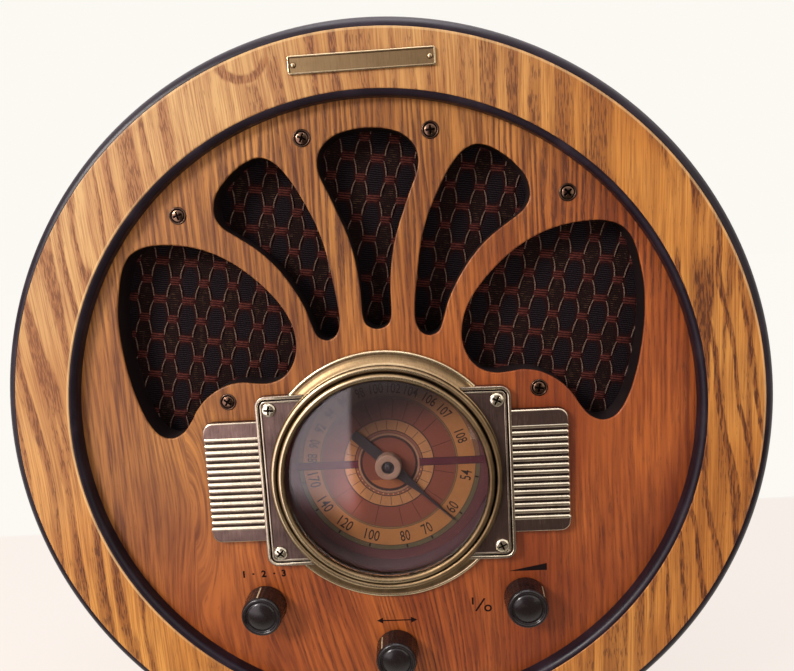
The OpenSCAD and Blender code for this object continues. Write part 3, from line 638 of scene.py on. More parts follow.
@dataclass(frozen=True)
class Board(Finish):
    """Pressed fibre board: felted fibres of two tones."""

    colour: Tone
    flecks: Tone
    dark: Tone

    def paint(self, g: Graph) -> None:
        """Adds the board's nodes: short fibres as warped, stretched noise at two angles."""
        x, y, z = g.place()
        warp = (g.noise(g.vector(x, y, z), 0.15, 2.0) - 0.5) * 6.0
        one = g.noise(g.vector(x * 0.9 + warp, y, z * 0.16), 1.0, 4.0, 0.7)
        two = g.noise(g.vector(x * 0.16, y, z * 0.9 + warp), 1.0, 4.0, 0.7)
        speck = g.noise(g.vector(x, y, z), 1.8, 2.0)
        colour = g.mix(one.rise(0.45, 0.7), self.colour, self.flecks)
        colour = g.mix(two.rise(0.5, 0.75) * 0.8, colour, self.dark)
        g.close(
            Base_Color=colour, Roughness=0.74 + (one - 0.5) * 0.2, Specular_IOR_Level=0.25,
            Normal=g.bump(one + two + speck * 0.5, 0.00012, 0.7),
        )


@dataclass(frozen=True)
class Weave(Finish):
    """The grille cloth's ground: open cells of black, blue-black and brown threads."""

    black: Tone = tone(36, 17, 17)
    ink: Tone = tone(40, 33, 36)
    gap: Tone = tone(15, 10, 14)
    brown: Tone = tone(42, 27, 22)
    tan: Tone = tone(78, 56, 42)

    def paint(self, g: Graph) -> None:
        """Adds the ground's nodes.

        Formula: the lay number on the mesh is the place in the weave's repeat. Cells under the
        wide knots are inky, those beside them are brown with tan cross threads.
        """
        i, j, _ = g.parts(g.add("ShaderNodeAttribute", {"attribute_name": "lay"}, None, "Vector"))
        x, y, z = g.place()
        loose = g.noise(g.vector(x, y, z), 0.5, 3.0)
        under_i = ((i + 0.5).part() - 0.5).size()
        under_j = (j.part() - 0.5).size()
        inky = (under_i * 3.1) ** 2.0 + (under_j * 2.1) ** 2.0
        beside_i = (i.part() - 0.5).size()
        beside_j = ((j + 0.5).part() - 0.5).size()
        brown = (beside_i * 3.7) ** 2.0 + (beside_j * 2.2) ** 2.0
        cross = ((j * 17.95 / 0.95 + (loose - 0.5) * 0.6) * 2.0 * math.pi).wave()
        upright = ((i * 13.49 / 0.7 + (loose - 0.5)) * 2.0 * math.pi).wave()
        lines = cross.rise(0.1, 0.9)
        in_ink = 1.0 - inky.rise(0.4, 0.85)
        in_brown = 1.0 - brown.rise(0.4, 0.85)
        colour = g.mix(in_ink.most(in_brown), self.black, self.gap)
        colour = g.mix(in_ink * lines, colour, self.ink)
        colour = g.mix(in_brown * (0.2 + lines * 0.7), colour, self.brown)
        patch = loose.rise(0.5, 0.68)
        colour = g.mix(in_brown * lines * patch * 0.8, colour, self.tan)
        height = cross * 0.5 + upright * 0.3 + loose * 0.6 - (1.0 - in_ink.most(in_brown)) * 0.5
        g.close(
            Base_Color=colour, Roughness=0.9, Specular_IOR_Level=0.04, Normal=g.bump(height, 0.0002, 0.9),
        )


@dataclass(frozen=True)
class Yarn(Finish):
    """A dyed yarn with twist: fine threads along x and uneven dye."""

    colour: Tone
    light: Tone
    pitch: float = 0.45
    lean: float = 0.15
    striped: float = 0.22

    def paint(self, g: Graph) -> None:
        """Adds the yarn's nodes: thin threads as a wave across the yarn and noise for the dye."""
        x, y, z = g.place()
        loose = g.noise(g.vector(x, y, z), 0.6, 4.0, 0.65)
        thread = (((z + x * self.lean) / self.pitch + (loose - 0.5) * 0.8) * 2.0 * math.pi).wave()
        twist = g.noise(g.vector(x * 1.2, y, z * 3.0), 1.0, 2.0)
        share = thread * self.striped + 0.3 + (loose - 0.5) * 1.3 + (twist - 0.5) * 0.5
        g.close(
            Base_Color=g.mix(share, self.colour, self.light), Roughness=0.85, Specular_IOR_Level=0.08,
            Normal=g.bump(thread + twist, 0.0001, 0.9),
        )


@dataclass(frozen=True)
class Print(Finish):
    """The printed dial: rings of flat ink on card, worked out from the distance to the middle."""

    def paint(self, g: Graph) -> None:
        """Adds the dial's nodes.

        Formula: the ring that a point lies in comes from its distance r to the dial's middle,
        and ticks and the level bar from its angle and height there. Shade is painted over the
        dial's top, and light over its left.
        """
        x, _, z = g.place()
        rel = z - DIAL_Z
        r = (x * x + rel * rel).root()
        angle = g.math("ARCTAN2", rel, x) * (180.0 / math.pi)
        lower = 1.0 - rel.rise(-0.4, 0.4)
        line, brick = tone(36, 21, 21), tone(98, 51, 37)
        scale, gold = tone(134, 90, 48), tone(136, 95, 58)
        stops = [
            (0.0, tone(98, 52, 37)), (12.6, line), (13.8, tone(120, 90, 70)), (14.2, tone(124, 94, 72)),
            (14.8, line), (15.0, tone(100, 60, 44)), (16.2, line), (16.5, gold), (21.3, line), (21.9, brick),
            (31.9, tone(64, 52, 36)), (32.3, tone(108, 80, 50)), (32.7, tone(64, 52, 36)), (33.1, scale),
            (41.3, tone(62, 48, 34)), (41.7, tone(74, 70, 48)), (43.6, tone(50, 34, 30)),
            (44.0, tone(76, 42, 44)),
        ]
        colour = g.ramp(r / 50.0, [(at / 50.0, ink) for at, ink in stops], "CONSTANT")
        upper_band = r.hump(42.65, 0.95, 0.1) * (1.0 - lower)
        colour = g.mix(upper_band, colour, tone(92, 64, 44))
        segment = (1.0 - rel.rise(-8.3, -8.1)) * (1.0 - r.rise(12.4, 12.6))
        colour = g.mix(segment, colour, tone(122, 72, 40))
        turn = ((angle / 15.0).part() - 0.5).size()
        tick = (turn - 0.5).size() * r * (15.0 * math.pi / 180.0)
        ticks = (1.0 - tick.rise(0.12, 0.2)) * r.hump(18.9, 2.2, 0.1)
        colour = g.mix(ticks * 0.85, colour, line)
        bead = ((angle / 9.0).part() - 0.5).size() * r * (9.0 * math.pi / 180.0)
        beads = (1.0 - (bead ** 2.0 + (r - 15.6) ** 2.0).root().rise(0.22, 0.34)) * lower
        colour = g.mix(beads * 0.7, colour, tone(190, 140, 90))
        bar = rel.size()
        across = r.rise(14.6, 14.8) * (1.0 - r.rise(45.6, 45.8))
        colour = g.mix((1.0 - bar.rise(1.6, 1.7)) * across, colour, tone(66, 20, 32))
        colour = g.mix(bar.hump(1.75, 0.14, 0.08) * across, colour, tone(34, 14, 20))
        # Painted shade over the dial's top, where the cup's wall shades it.
        painted_top_shade = (rel - x.most(-12.0) * 0.35).rise(0.0, 34.0)
        colour = g.mix(painted_top_shade * 0.9, colour, tone(38, 26, 26))
        # Painted light over the dial's left, brightening the print there.
        sunlit = (0.0 - x).rise(10.0, 20.0) * rel.rise(-38.0, -18.0)
        colour = g.mix(sunlit * 0.9, colour, (2.1, 1.9, 1.8, 1.0), "MULTIPLY")
        cloud = g.noise(g.vector(x, z, 0.0), 0.12, 4.0, 0.6)
        fine = g.noise(g.vector(x, z, 0.0), 3.0, 2.0)
        colour = g.mix(cloud.rise(0.45, 0.8) * 0.28 + (fine - 0.5) * 0.2, colour, tone(84, 50, 44))
        g.close(
            Base_Color=colour, Roughness=0.5 + (fine - 0.5) * 0.2, Specular_IOR_Level=0.3,
            Normal=g.bump(fine, 0.00002, 0.6),
        )


@dataclass(frozen=True)
class Glass(Finish):
    """Clear or smoked glass or plastic that lets lamps through."""

    tint: Tone
    roughness: float = 0.02
    index: float = 1.45

    def paint(self, g: Graph) -> None:
        """Adds the glass's nodes: fine dust for the roughness, and no shadow of its own."""
        x, y, z = g.place()
        dust = g.noise(g.vector(x, y, z), 0.4, 4.0, 0.7).rise(0.55, 0.8)
        shader = g.add(
            "ShaderNodeBsdfPrincipled", None,
            {"Base Color": self.tint, "Roughness": self.roughness + dust * 0.02,
             "Transmission Weight": 1.0, "IOR": self.index},
        )
        clear = g.add("ShaderNodeBsdfTransparent", None, {"Color": self.tint})
        shadow = g.add("ShaderNodeLightPath", None, None, "Is Shadow Ray")
        mixed = g.add("ShaderNodeMixShader", None, {0: shadow, 1: shader, 2: clear})
        g.add("ShaderNodeOutputMaterial", None, {"Surface": mixed})


OAK_RING = RingOak(
    "golden_oak",
    (tone(200, 160, 108), tone(206, 143, 70)), (tone(190, 144, 90), tone(188, 120, 52)),
    (tone(146, 94, 58), tone(118, 62, 26)), (tone(104, 62, 40), tone(76, 38, 18)),
    period=9.5, lean=0.1, drift=9.0, sway=0.006, band_strength=0.84, fibre_strength=0.4, pore_strength=0.85,
    figures=((-150.0, 40.0, 24.0, 60.0, 0.25),),
)
OAK_PANEL = PanelOak(
    "red_oak",
    (tone(186, 127, 68), tone(172, 91, 39)), (tone(156, 100, 52), tone(138, 63, 27)),
    (tone(92, 50, 28), tone(92, 38, 20)), (tone(66, 34, 20), tone(60, 25, 14)),
    period=3.2, lean=0.0, drift=5.0, wander=4.2, band_strength=0.62, fibre_strength=0.42, fibre_scale=0.75,
    pore_strength=0.55, ageing=(0.9, -110.0, 40.0),
    figures=(
        (-103.0, -38.0, 20.0, 36.0, 0.35), (98.0, -12.0, 16.0, 30.0, -0.35), (119.0, -60.0, 20.0, 34.0, 0.3),
    ),
)
OAK_CASE = DrumOak(
    "case_oak",
    (tone(200, 148, 98), tone(186, 126, 70)), (tone(186, 128, 80), tone(170, 106, 56)),
    (tone(146, 96, 60), tone(134, 80, 42)), (tone(102, 64, 42), tone(84, 48, 28)),
    period=8.0, lean=0.02, drift=30.0,
)
BLACK = Lacquer("black_lacquer_finish", tone(24, 15, 25), tone(46, 36, 47), coat=0.02)
CUT_EDGE = Lacquer("opening_walls", tone(26, 17, 18), tone(40, 29, 30), roughness=0.5, coat=0.0)
BRASS = Brass("antique_brass_finish")
PLATE_BRASS = Brass(
    "brushed_brass", hollow=tone(26, 18, 20), field=tone(132, 110, 102), bright=tone(255, 245, 214),
    patchy=0.42, grain=1.5,
)
BRIGHT = Brass(
    "bright_brass_finish", hollow=tone(16, 11, 9), field=tone(150, 138, 112), bright=tone(255, 248, 222),
    patchy=0.08, grain=0.5,
)
BRONZE = Brass(
    "bronzed_steel_finish", hollow=tone(16, 11, 10), field=tone(62, 46, 38), bright=tone(112, 88, 72),
    patchy=0.2,
)
KNOB = Moulding(
    "knob_black_finish", tone(24, 17, 18), tone(42, 32, 30),
    roughness=0.26, texture=0.00001, coat=0.15, shine=0.4,
)
CREAM = Moulding("cream_line", tone(190, 172, 140), tone(150, 132, 104), roughness=0.5)
DARK_CUP = Moulding("dial_cup_paint", tone(62, 38, 42), tone(88, 60, 60), roughness=0.6)
INK = Moulding("panel_ink", tone(20, 9, 10), tone(38, 20, 18), roughness=0.7, texture=0.00001, shine=0.1)
DIAL_INK = Moulding(
    "dial_ink", tone(34, 20, 19), tone(46, 28, 24), roughness=0.7, texture=0.00001, shine=0.15
)
POINTER = Moulding("pointer_paint_finish", tone(30, 22, 26), tone(66, 50, 52), roughness=0.5)
HUB = Moulding("hub_paint", tone(116, 90, 74), tone(90, 70, 60), roughness=0.4)
SIGN = Moulding("key_signs", tone(196, 194, 186), tone(160, 158, 150), roughness=0.5)
KNOT = Yarn("maroon_knots", tone(38, 13, 14), tone(92, 46, 39), pitch=1.15, striped=0.45)
THREAD = Yarn("beige_threads", tone(70, 52, 46), tone(146, 123, 110), pitch=0.8)
DIAL_GLASS = Glass("dial_glass_finish", tone(250, 248, 250))
SMOKED = Glass("smoked_window_finish", tone(186, 178, 170), roughness=0.03)
FINISHES: dict[str, Finish] = {
    "oak_ring": OAK_RING,
    "oak_panel": OAK_PANEL,
    "oak_case": OAK_CASE,
    "black_lacquer": BLACK,
    "grille_weave": Weave("cloth_ground"),
    "fibre_board": Board("fibre_board_finish", tone(92, 62, 42), tone(124, 90, 62), tone(60, 40, 28)),
    "foot_rubber": Moulding(
        "foot_rubber_finish", tone(30, 29, 29), tone(56, 53, 50), roughness=0.75, texture=0.0001
    ),
    "zinc_steel": Metal("zinc_steel_finish", tone(164, 160, 152), tone(118, 114, 108), roughness=0.36),
    "antique_brass": BRASS,
    "bright_brass": BRIGHT,
    "bronzed_steel": BRONZE,
    "dial_glass": DIAL_GLASS,
    "dial_print": Print("dial_print_finish"),
    "pointer_paint": POINTER,
    "drive_parts": Metal("drive_parts_finish", tone(198, 186, 150), tone(146, 132, 104), roughness=0.4),
    "cord_thread": Yarn("cord_thread_finish", tone(176, 160, 128), tone(206, 192, 160)),
    "knob_black": KNOB,
    "control_can": Metal("control_can_finish", tone(176, 172, 164), tone(122, 118, 110), roughness=0.42),
    "board_green": Moulding("board_green_finish", tone(38, 84, 52), tone(66, 112, 76), roughness=0.45),
    "speaker_steel": Metal("speaker_steel_finish", tone(92, 90, 90), tone(60, 58, 58), roughness=0.5),
    "cone_paper": Board("cone_paper_finish", tone(44, 40, 38), tone(66, 60, 56), tone(28, 25, 24)),
    "deck_black": Moulding(
        "deck_black_finish", tone(34, 33, 35), tone(58, 56, 56), roughness=0.42, texture=0.00009
    ),
    "smoked_window": SMOKED,
    "white_plastic": Moulding(
        "white_plastic_finish", tone(226, 222, 210), tone(194, 188, 172), roughness=0.4
    ),
    "head_steel": Metal("head_steel_finish", tone(208, 206, 202), tone(160, 158, 152), roughness=0.22),
}


# Shapes


def eased(corners: Sequence[Sequence[float]], radii: Sequence[float] | float, steps: int = 5) -> Array:
    """Rounds the corners of a closed outline.

    Formula: each corner c becomes the parabola (1-t)^2 a + 2t(1-t) c + t^2 b between the points
    a and b that lie the corner's radius before and after it.

    Args:
        corners: The outline's corners, in order.
        radii: How far each rounding reaches from its corner.
        steps: The points that stand for each corner.

    Returns:
        The rounded outline, steps points for each corner.
    """
    c = np.asarray(corners, float)
    before, after = np.roll(c, 1, 0) - c, np.roll(c, -1, 0) - c
    long_b, long_a = np.linalg.norm(before, axis=1), np.linalg.norm(after, axis=1)
    reach = np.minimum(np.broadcast_to(np.asarray(radii, float), len(c)), 0.49 * np.minimum(long_a, long_b))
    a = c + before / long_b[:, None] * reach[:, None]
    b = c + after / long_a[:, None] * reach[:, None]
    t = np.linspace(0.0, 1.0, steps)[None, :, None]
    return ((1 - t) ** 2 * a[:, None] + 2 * t * (1 - t) * c[:, None] + t**2 * b[:, None]).reshape(-1, 2)


def smoothed(corners: Sequence[Sequence[float]], steps: int = 6) -> Array:
    """A closed smooth curve through corners, by the Catmull-Rom blend of each four in a row.

    Args:
        corners: The points that the curve runs through.
        steps: The points from one corner to the next.

    Returns:
        The curve, steps points for each corner.
    """
    b = np.asarray(corners, float)[:, None]
    a, c, d = np.roll(b, 1, 0), np.roll(b, -1, 0), np.roll(b, -2, 0)
    t = (np.arange(steps) / steps)[None, :, None]
    curve = 2 * b + (c - a) * t + (2 * a - 5 * b + 4 * c - d) * t**2 + (3 * b - 3 * c + d - a) * t**3
    return (curve / 2).reshape(-1, 2)


def round_path(radius: float, steps: int, centre: tuple[float, float] = (0.0, 0.0)) -> Array:
    """A circle's points, anticlockwise."""
    a = np.linspace(0, 2 * np.pi, steps, endpoint=False)
    return np.stack([centre[0] + radius * np.cos(a), centre[1] + radius * np.sin(a)], -1)


def rounded_path(
    width: float, height: float, corner: float, centre: tuple[float, float] = (0.0, 0.0)
) -> Array:
    """A rectangle's outline with round corners, anticlockwise.

    Args:
        width: Its whole width.
        height: Its whole height.
        corner: The radius of its corners.
        centre: Its middle.

    Returns:
        The outline, from the corner at the upper right.
    """
    x, z = width / 2 - corner, height / 2 - corner
    a = np.linspace(0, np.pi / 2, CORNER_STEPS)[None, :] + np.arange(4)[:, None] * np.pi / 2
    sx, sz = np.array([[x], [-x], [-x], [x]]), np.array([[z], [z], [-z], [-z]])
    path = np.stack([centre[0] + sx + corner * np.cos(a), centre[1] + sz + corner * np.sin(a)], -1)
    return path.reshape(-1, 2)


def turned(profile: Array, steps: int, centre: tuple[float, float], base: float) -> Array:
    """Turns a profile about an axis along y.

    Formula: a profile point of radius r and height h goes to (x0 + r cos a, base - h,
    z0 + r sin a) at each angle a.

    Args:
        profile: Radius and height of each point, height towards the viewer.
        steps: How many angles make the round.
        centre: The axis's x and z.
        base: The y that heights count from.

    Returns:
        A grid of points, steps by the profile's length.
    """
    a = np.linspace(0, 2 * np.pi, steps, endpoint=False)[:, None]
    r, h = profile[:, 0], profile[:, 1]
    return np.stack([centre[0] + r * np.cos(a), base - h + 0 * a, centre[1] + r * np.sin(a)], -1)


def outward(path: Array, ring: bool = True) -> Array:
    """The unit normals of an anticlockwise path, which point out of it.

    Args:
        path: The path's points.
        ring: True where the path closes on itself.

    Returns:
        A normal for each point, square to the line between its two neighbours.
    """
    along = np.roll(path, -1, 0) - np.roll(path, 1, 0) if ring else np.gradient(path, axis=0)
    along /= np.maximum(np.linalg.norm(along, axis=1, keepdims=True), 1e-9)
    return np.stack([along[:, 1], -along[:, 0]], -1)


def carried(path: Array, profile: Array, base: float, ring: bool = True) -> Array:
    """Carries a profile along a path on the front.

    Formula: each point of the path moves along its outward normal by the profile's offset and
    towards the viewer by the profile's height.

    Args:
        path: Points in x and z, anticlockwise.
        profile: Offset and height of each point.
        base: The y that heights count from.
        ring: True where the path closes on itself.

    Returns:
        A grid of points, the path's length by the profile's.
    """
    n = outward(path, ring)[:, None]
    flat = path[:, None] + n * profile[None, :, :1]
    return np.stack([flat[..., 0], base - profile[None, :, 1] + 0 * flat[..., 0], flat[..., 1]], -1)


class Form:
    """Gathers points in the front frame and faces, and builds them into one mesh."""

    def __init__(self) -> None:
        """Starts with no points."""
        self.points: list[Array] = []
        self.wear: list[Array] = []
        self.lay: list[Array] = []
        self.faces: list[list[int]] = []
        self.slots: list[int] = []
        self.count = 0

    def keep(self, points: Array, faces: list[list[int]], slot: int, wear: Array | float) -> None:
        """Adds points and the faces between them.

        Args:
            points: The points, in an array of any shape.
            faces: The faces, as numbers that count every point of this form.
            slot: The material's number.
            wear: How rubbed each point is, 0 to 1, with painted highlight and shade added on some pieces.
        """
        flat = points.reshape(-1, 3)
        self.points.append(flat)
        self.wear.append(np.broadcast_to(np.asarray(wear, float), points.shape[:-1]).reshape(-1))
        self.faces += faces
        self.slots += [slot] * len(faces)
        self.count += len(flat)

    def grid(
        self, points: Array, wrap_u: bool = False, wrap_v: bool = False, slot: int = 0,
        wear: Array | float = 0.5,
    ) -> "Form":
        """Adds a grid of points with a four-sided face between each four.

        Args:
            points: The grid, one point for each pair of steps.
            wrap_u: Joins the last row to the first.
            wrap_v: Joins the last column to the first.
            slot: The material's number.
            wear: How rubbed each point is, 0 to 1, with painted highlight and shade added on some pieces.

        Returns:
            This form.
        """
        index = np.arange(points.shape[0] * points.shape[1]).reshape(points.shape[:2]) + self.count
        index = np.concatenate([index, index[:1]]) if wrap_u else index
        index = np.concatenate([index, index[:, :1]], 1) if wrap_v else index
        quads = np.stack([index[:-1, :-1], index[1:, :-1], index[1:, 1:], index[:-1, 1:]], -1).reshape(-1, 4)
        self.keep(points, quads.tolist(), slot, wear)
        return self

    def flat(self, loops: Sequence[Array], y: float, slot: int = 0, wear: float = 0.5) -> "Form":
        """Fills the first loop less the others with triangles, all at one depth.

        Args:
            loops: The outline and then its holes, each as points in x and z.
            y: The depth of the face.
            slot: The material's number.
            wear: How rubbed the face is.

        Returns:
            This form.
        """
        ends = np.cumsum([len(loop) for loop in loops])
        edges = [
            (int(k), int(k + 1 if k + 1 < end else end - len(loop)))
            for loop, end in zip(loops, ends)
            for k in range(end - len(loop), end)
        ]
        given = [Vector(p) for p in np.concatenate(loops).tolist()]
        made, _, faces, *_ = delaunay_2d_cdt(given, edges, [], 0, 1e-7)
        xz, faces = np.array([tuple(p) for p in made]), np.array(faces)
        middles = xz[faces].mean(1)
        kept = inside(middles, loops[0])
        for hole in loops[1:]:
            kept &= ~inside(middles, hole)
        points = np.stack([xz[:, 0], np.full(len(xz), y), xz[:, 1]], -1)
        self.keep(points, (faces[kept] + self.count).tolist(), slot, wear)
        return self

    def flat_text(self, points: Array, faces: list[list[int]], y: float) -> None:
        """Adds a flat text's faces, whose points are in x and z, at one depth."""
        placed = np.stack([points[:, 0], np.full(len(points), y), points[:, 1]], -1)
        self.keep(placed, [[k + self.count for k in face] for face in faces], 0, 0.5)

    def block(self, path: Array, low: float, high: float, ease: float, base: float, wear: float) -> None:
        """Adds a slab over an outline, with its front edges rounded and rubbed bright.

        Args:
            path: The outline, anticlockwise.
            low: The height of its back, towards the viewer.
            high: The height of its front.
            ease: The radius of its front edges.
            base: The y that heights count from.
            wear: How rubbed the front is.
        """
        c = np.linspace(0, np.pi / 2, 5)
        profile = np.concatenate([
            [[0.0, low], [0.0, high - ease]],
            np.stack([ease * (np.cos(c) - 1), high - ease + ease * np.sin(c)], -1)[1:],
        ])
        rubbed = np.array([0.1, 0.3, 0.6, 0.85, 0.7, wear])
        self.grid(carried(path, profile, base), wrap_u=True, wear=rubbed[None])
        inner = path + outward(path) * profile[-1, 0]
        self.flat([inner], base - high, wear=wear)
        self.flat([path], base - low, wear=0.1)

    def build(
        self, name: str, finishes: Sequence[Finish], sharp: float = SHARP, closed: bool = True,
        lay: Array | None = None,
    ) -> bpy.types.Object:
        """Makes the mesh, with its seams and poles closed and its faces outward.

        Args:
            name: The piece's name.
            finishes: The finish of each material number.
            sharp: Edges turned more than this, in degrees, stay sharp.
            closed: False for an open sheet, whose faces keep their direction.
            lay: A 3 by 3 matrix that turns x, 1, z into the place in a weave's repeat.

        Returns:
            The piece.
        """
        points = np.concatenate(self.points)
        mesh = bpy.data.meshes.new(name)
        mesh.from_pydata(((points + ORIGIN) * MM).tolist(), [], self.faces)
        mesh.polygons.foreach_set("material_index", np.array(self.slots, np.int32))
        # The wear number, which on the flange, the bezel and the wing ribs also holds painted highlight and
        # shade.
        worn = mesh.attributes.new("wear", "FLOAT", "POINT")
        worn.data.foreach_set("value", np.concatenate(self.wear).astype(np.float32))
        if lay is not None:
            flat = np.stack([points[:, 0], np.ones(len(points)), points[:, 2]], -1) @ lay.T
            woven = mesh.attributes.new("lay", "FLOAT_VECTOR", "POINT")
            woven.data.foreach_set("vector", flat.astype(np.float32).ravel())
        work = bmesh.new()
        work.from_mesh(mesh)
        bmesh.ops.remove_doubles(work, verts=work.verts, dist=MERGE)
        bmesh.ops.dissolve_degenerate(work, edges=work.edges, dist=1e-6)
        if closed:
            bmesh.ops.recalc_face_normals(work, faces=work.faces)
        work.to_mesh(mesh)
        work.free()
        for finish in finishes:
            mesh.materials.append(finish.material())
        mesh.shade_smooth()
        mesh.set_sharp_from_angle(angle=math.radians(sharp))
        piece = bpy.data.objects.new(name, mesh)
        bpy.context.scene.collection.objects.link(piece)
        even = piece.modifiers.new("even_normals", "WEIGHTED_NORMAL")
        even.keep_sharp = True
        return piece


def seat(piece: bpy.types.Object, body: str, slot: str, *nodes: str) -> None:
    """Makes a piece ride on a body and stand for CAD nodes.

    Args:
        piece: The piece, in place.
        body: The body that it moves with.
        slot: The record's material slot of the piece; not used.
        nodes: The CAD nodes that it stands for.
    """
    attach(piece, body)
    if nodes:
        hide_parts(*nodes)
    LOG.info("%s: rides on %s, %d faces", piece.name, body, len(piece.data.polygons))


def cut_level(piece: bpy.types.Object, z: float) -> None:
    """Cuts a piece off at a level and closes the cut.

    Args:
        piece: The piece, in place.
        z: The level's height in the front frame.
    """
    work = bmesh.new()
    work.from_mesh(piece.data)
    level = Vector((0.0, 0.0, (z + ORIGIN[2]) * MM))
    everything = [*work.verts, *work.edges, *work.faces]
    down = Vector((0, 0, -1))
    bmesh.ops.bisect_plane(work, geom=everything, plane_co=level, plane_no=down, clear_outer=True)
    rim = [e for e in work.edges if e.is_boundary]
    bmesh.ops.holes_fill(work, edges=rim, sides=0)
    bmesh.ops.recalc_face_normals(work, faces=work.faces)
    work.to_mesh(piece.data)
    work.free()
    piece.data.set_sharp_from_angle(angle=math.radians(SHARP))


def refine(node: str, ease: float, finish: Finish | None = None, segments: int = 2) -> None:
    """Stands a copy in for a CAD node, with its doubles merged, its edges eased and a fine finish.

    Args:
        node: The CAD node, whose body the copy rides on.
        ease: The width of the eased edges, in millimetres.
        finish: The copy's finish, or None for that of the node's slot.
        segments: The steps across each eased edge.
    """
    source = frame["nodes"][node]
    mesh = source.data.copy()
    mesh.name = node + "_dressed"
    work = bmesh.new()
    work.from_mesh(mesh)
    bmesh.ops.remove_doubles(work, verts=work.verts, dist=MERGE)
    bmesh.ops.dissolve_limit(work, angle_limit=math.radians(0.6), verts=work.verts, edges=work.edges)
    bmesh.ops.recalc_face_normals(work, faces=work.faces)
    work.to_mesh(mesh)
    work.free()
    slot = SLOT_OF[node]
    mesh.materials.clear()
    mesh.materials.append((finish or FINISHES[slot]).material())
    if "custom_normal" in mesh.attributes:
        mesh.attributes.remove(mesh.attributes["custom_normal"])
    mesh.shade_smooth()
    mesh.set_sharp_from_angle(angle=math.radians(32.0))
    piece = bpy.data.objects.new(node + "_dressed", mesh)
    bpy.context.scene.collection.objects.link(piece)
    edge = piece.modifiers.new("eased_edges", "BEVEL")
    edge.width, edge.segments, edge.limit_method = ease * MM, segments, "ANGLE"
    edge.angle_limit, edge.use_clamp_overlap = math.radians(40.0), True
    even = piece.modifiers.new("even_normals", "WEIGHTED_NORMAL")
    even.keep_sharp = True
    seat(piece, source["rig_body"], slot, node)


# Pieces

HALF_MIDDLE_RAY = [
    [0, 40], [4.6, 41.8], [6.4, 46.5], [6.7, 58], [7.8, 69], [10.2, 80], [13.8, 90],
    [17.6, 99.5], [21, 107.5], [21.9, 113.5], [20, 119.5], [14.5, 124.4], [7, 126.6], [0, 127.2],
]
SLANTED_RAY = [
    [23, 36], [27.3, 38], [29.6, 43.5], [32, 51], [36.5, 60], [43, 69.5], [51, 77.7],
    [60, 84.2], [66, 88.6], [69, 94.5], [67.6, 102.5], [61.5, 110], [54, 115.5], [47, 117.5],
    [40.5, 114.7], [34.5, 107.5], [28.7, 97], [24, 86.5], [20.8, 75], [18.6, 62], [17.1, 50],
    [17, 43], [19, 38],
]
OUTER_RAY = [
    [97.5, -6], [102.5, -5.2], [106.5, -1.5], [110.2, 5.5], [113.8, 17], [116.2, 30],
    [117.3, 43], [117, 54], [115.3, 64], [112.7, 73], [108.3, 79], [101.5, 81.9], [93, 82.4],
    [83, 81.2], [73, 78.2], [63, 72.8], [55, 66.5], [48, 59.5], [42, 51.5], [38.2, 43],
    [37.2, 33.5], [39.6, 25.5], [44.5, 20], [51, 17.7], [57.5, 17.9], [64, 18.6], [71.5, 17.2],
    [79, 13], [84.5, 7.6], [88.6, 1.2], [92.5, -3.6],
]
PANEL_SCREWS = [[27.7, 124.5], [85.1, 94.8], [70.4, 10]]
PLATE_SCREWS = (51.1, 34.0)


def rays() -> list[Array]:
    """The outlines of the five sunray openings, each anticlockwise."""
    half = np.array(HALF_MIDDLE_RAY, float)
    middle = np.concatenate([half, half[-2:0:-1] * [-1, 1]])
    sides = [smoothed(shape) for shape in (SLANTED_RAY, OUTER_RAY)]
    return [smoothed(middle), *sides, *[side[::-1] * [-1, 1] for side in sides]]


def sheet_outline(steps: int) -> Array:
    """The outline of the panel and of the cloth behind it: a circle cut level at the bottom.

    Args:
        steps: The points that the circle has.

    Returns:
        The outline, anticlockwise.
    """
    rim = round_path(SHEET_RADIUS, steps)
    rim[:, 1] = np.maximum(rim[:, 1], SHEET_CUT)
    return rim


def control_holes(dial_steps: int, shaft_steps: int) -> list[Array]:
    """The holes in the panel and in the cloth for the dial and for the three shafts.

    Args:
        dial_steps: The points of the dial's hole.
        shaft_steps: The points of each shaft's hole.

    Returns:
        The dial's hole and then the shafts'.
    """
    shafts = ((TUNING_SPOT, 3.3), (BAND_SPOT, 5.0), (VOLUME_SPOT, 5.0))
    dial = round_path(DIAL_HOLE, dial_steps, (0.0, DIAL_Z))
    return [dial, *[round_path(radius, shaft_steps, spot) for spot, radius in shafts]]


def screw_head(
    form: Form, x: float, y: float, z: float, radius: float, rise: float, turn: float
) -> None:
    """Adds a cross-head screw's head.

    Formula: the height over the point at radius p is rise times the square root of
    1 - 0.72 (p/radius)^2, less a recess where the point is near either arm of the cross.

    Args:
        form: What the head is added to.
        x: The head's place.
        y: The depth of its seat.
        z: The head's height.
        radius: The head's radius.
        rise: Its height above the seat.
        turn: How far the cross is turned, in radians.
    """
    p = np.concatenate([np.linspace(0, radius * 0.94, 22), [radius, radius, radius * 0.9]])[None, :]
    a = np.linspace(0, 2 * np.pi, 72, endpoint=False)[:, None]
    u, v = np.abs(p * np.cos(a + turn)), np.abs(p * np.sin(a + turn))
    arm, reach = np.minimum(u, v), np.maximum(u, v)
    within_arm = np.clip((0.16 * radius - arm) / (0.05 * radius), 0, 1)
    sunk = within_arm * np.clip((0.76 * radius - reach) / (0.08 * radius), 0, 1)
    crown = rise * np.sqrt(1 - 0.72 * np.minimum(p / radius, 0.96) ** 2)
    height = crown - sunk * rise * 0.6
    height[:, -2:] = 0.0
    height[:, -3] = rise * 0.42
    points = np.stack([x + p * np.cos(a), y - height, z + p * np.sin(a)], -1)
    wear = np.clip(1.0 - sunk * 1.3 - 0.2 * (p / radius) ** 6, 0, 1)
    wear[:, -2:] = 0.2
    form.grid(points, wrap_u=True, wear=wear)


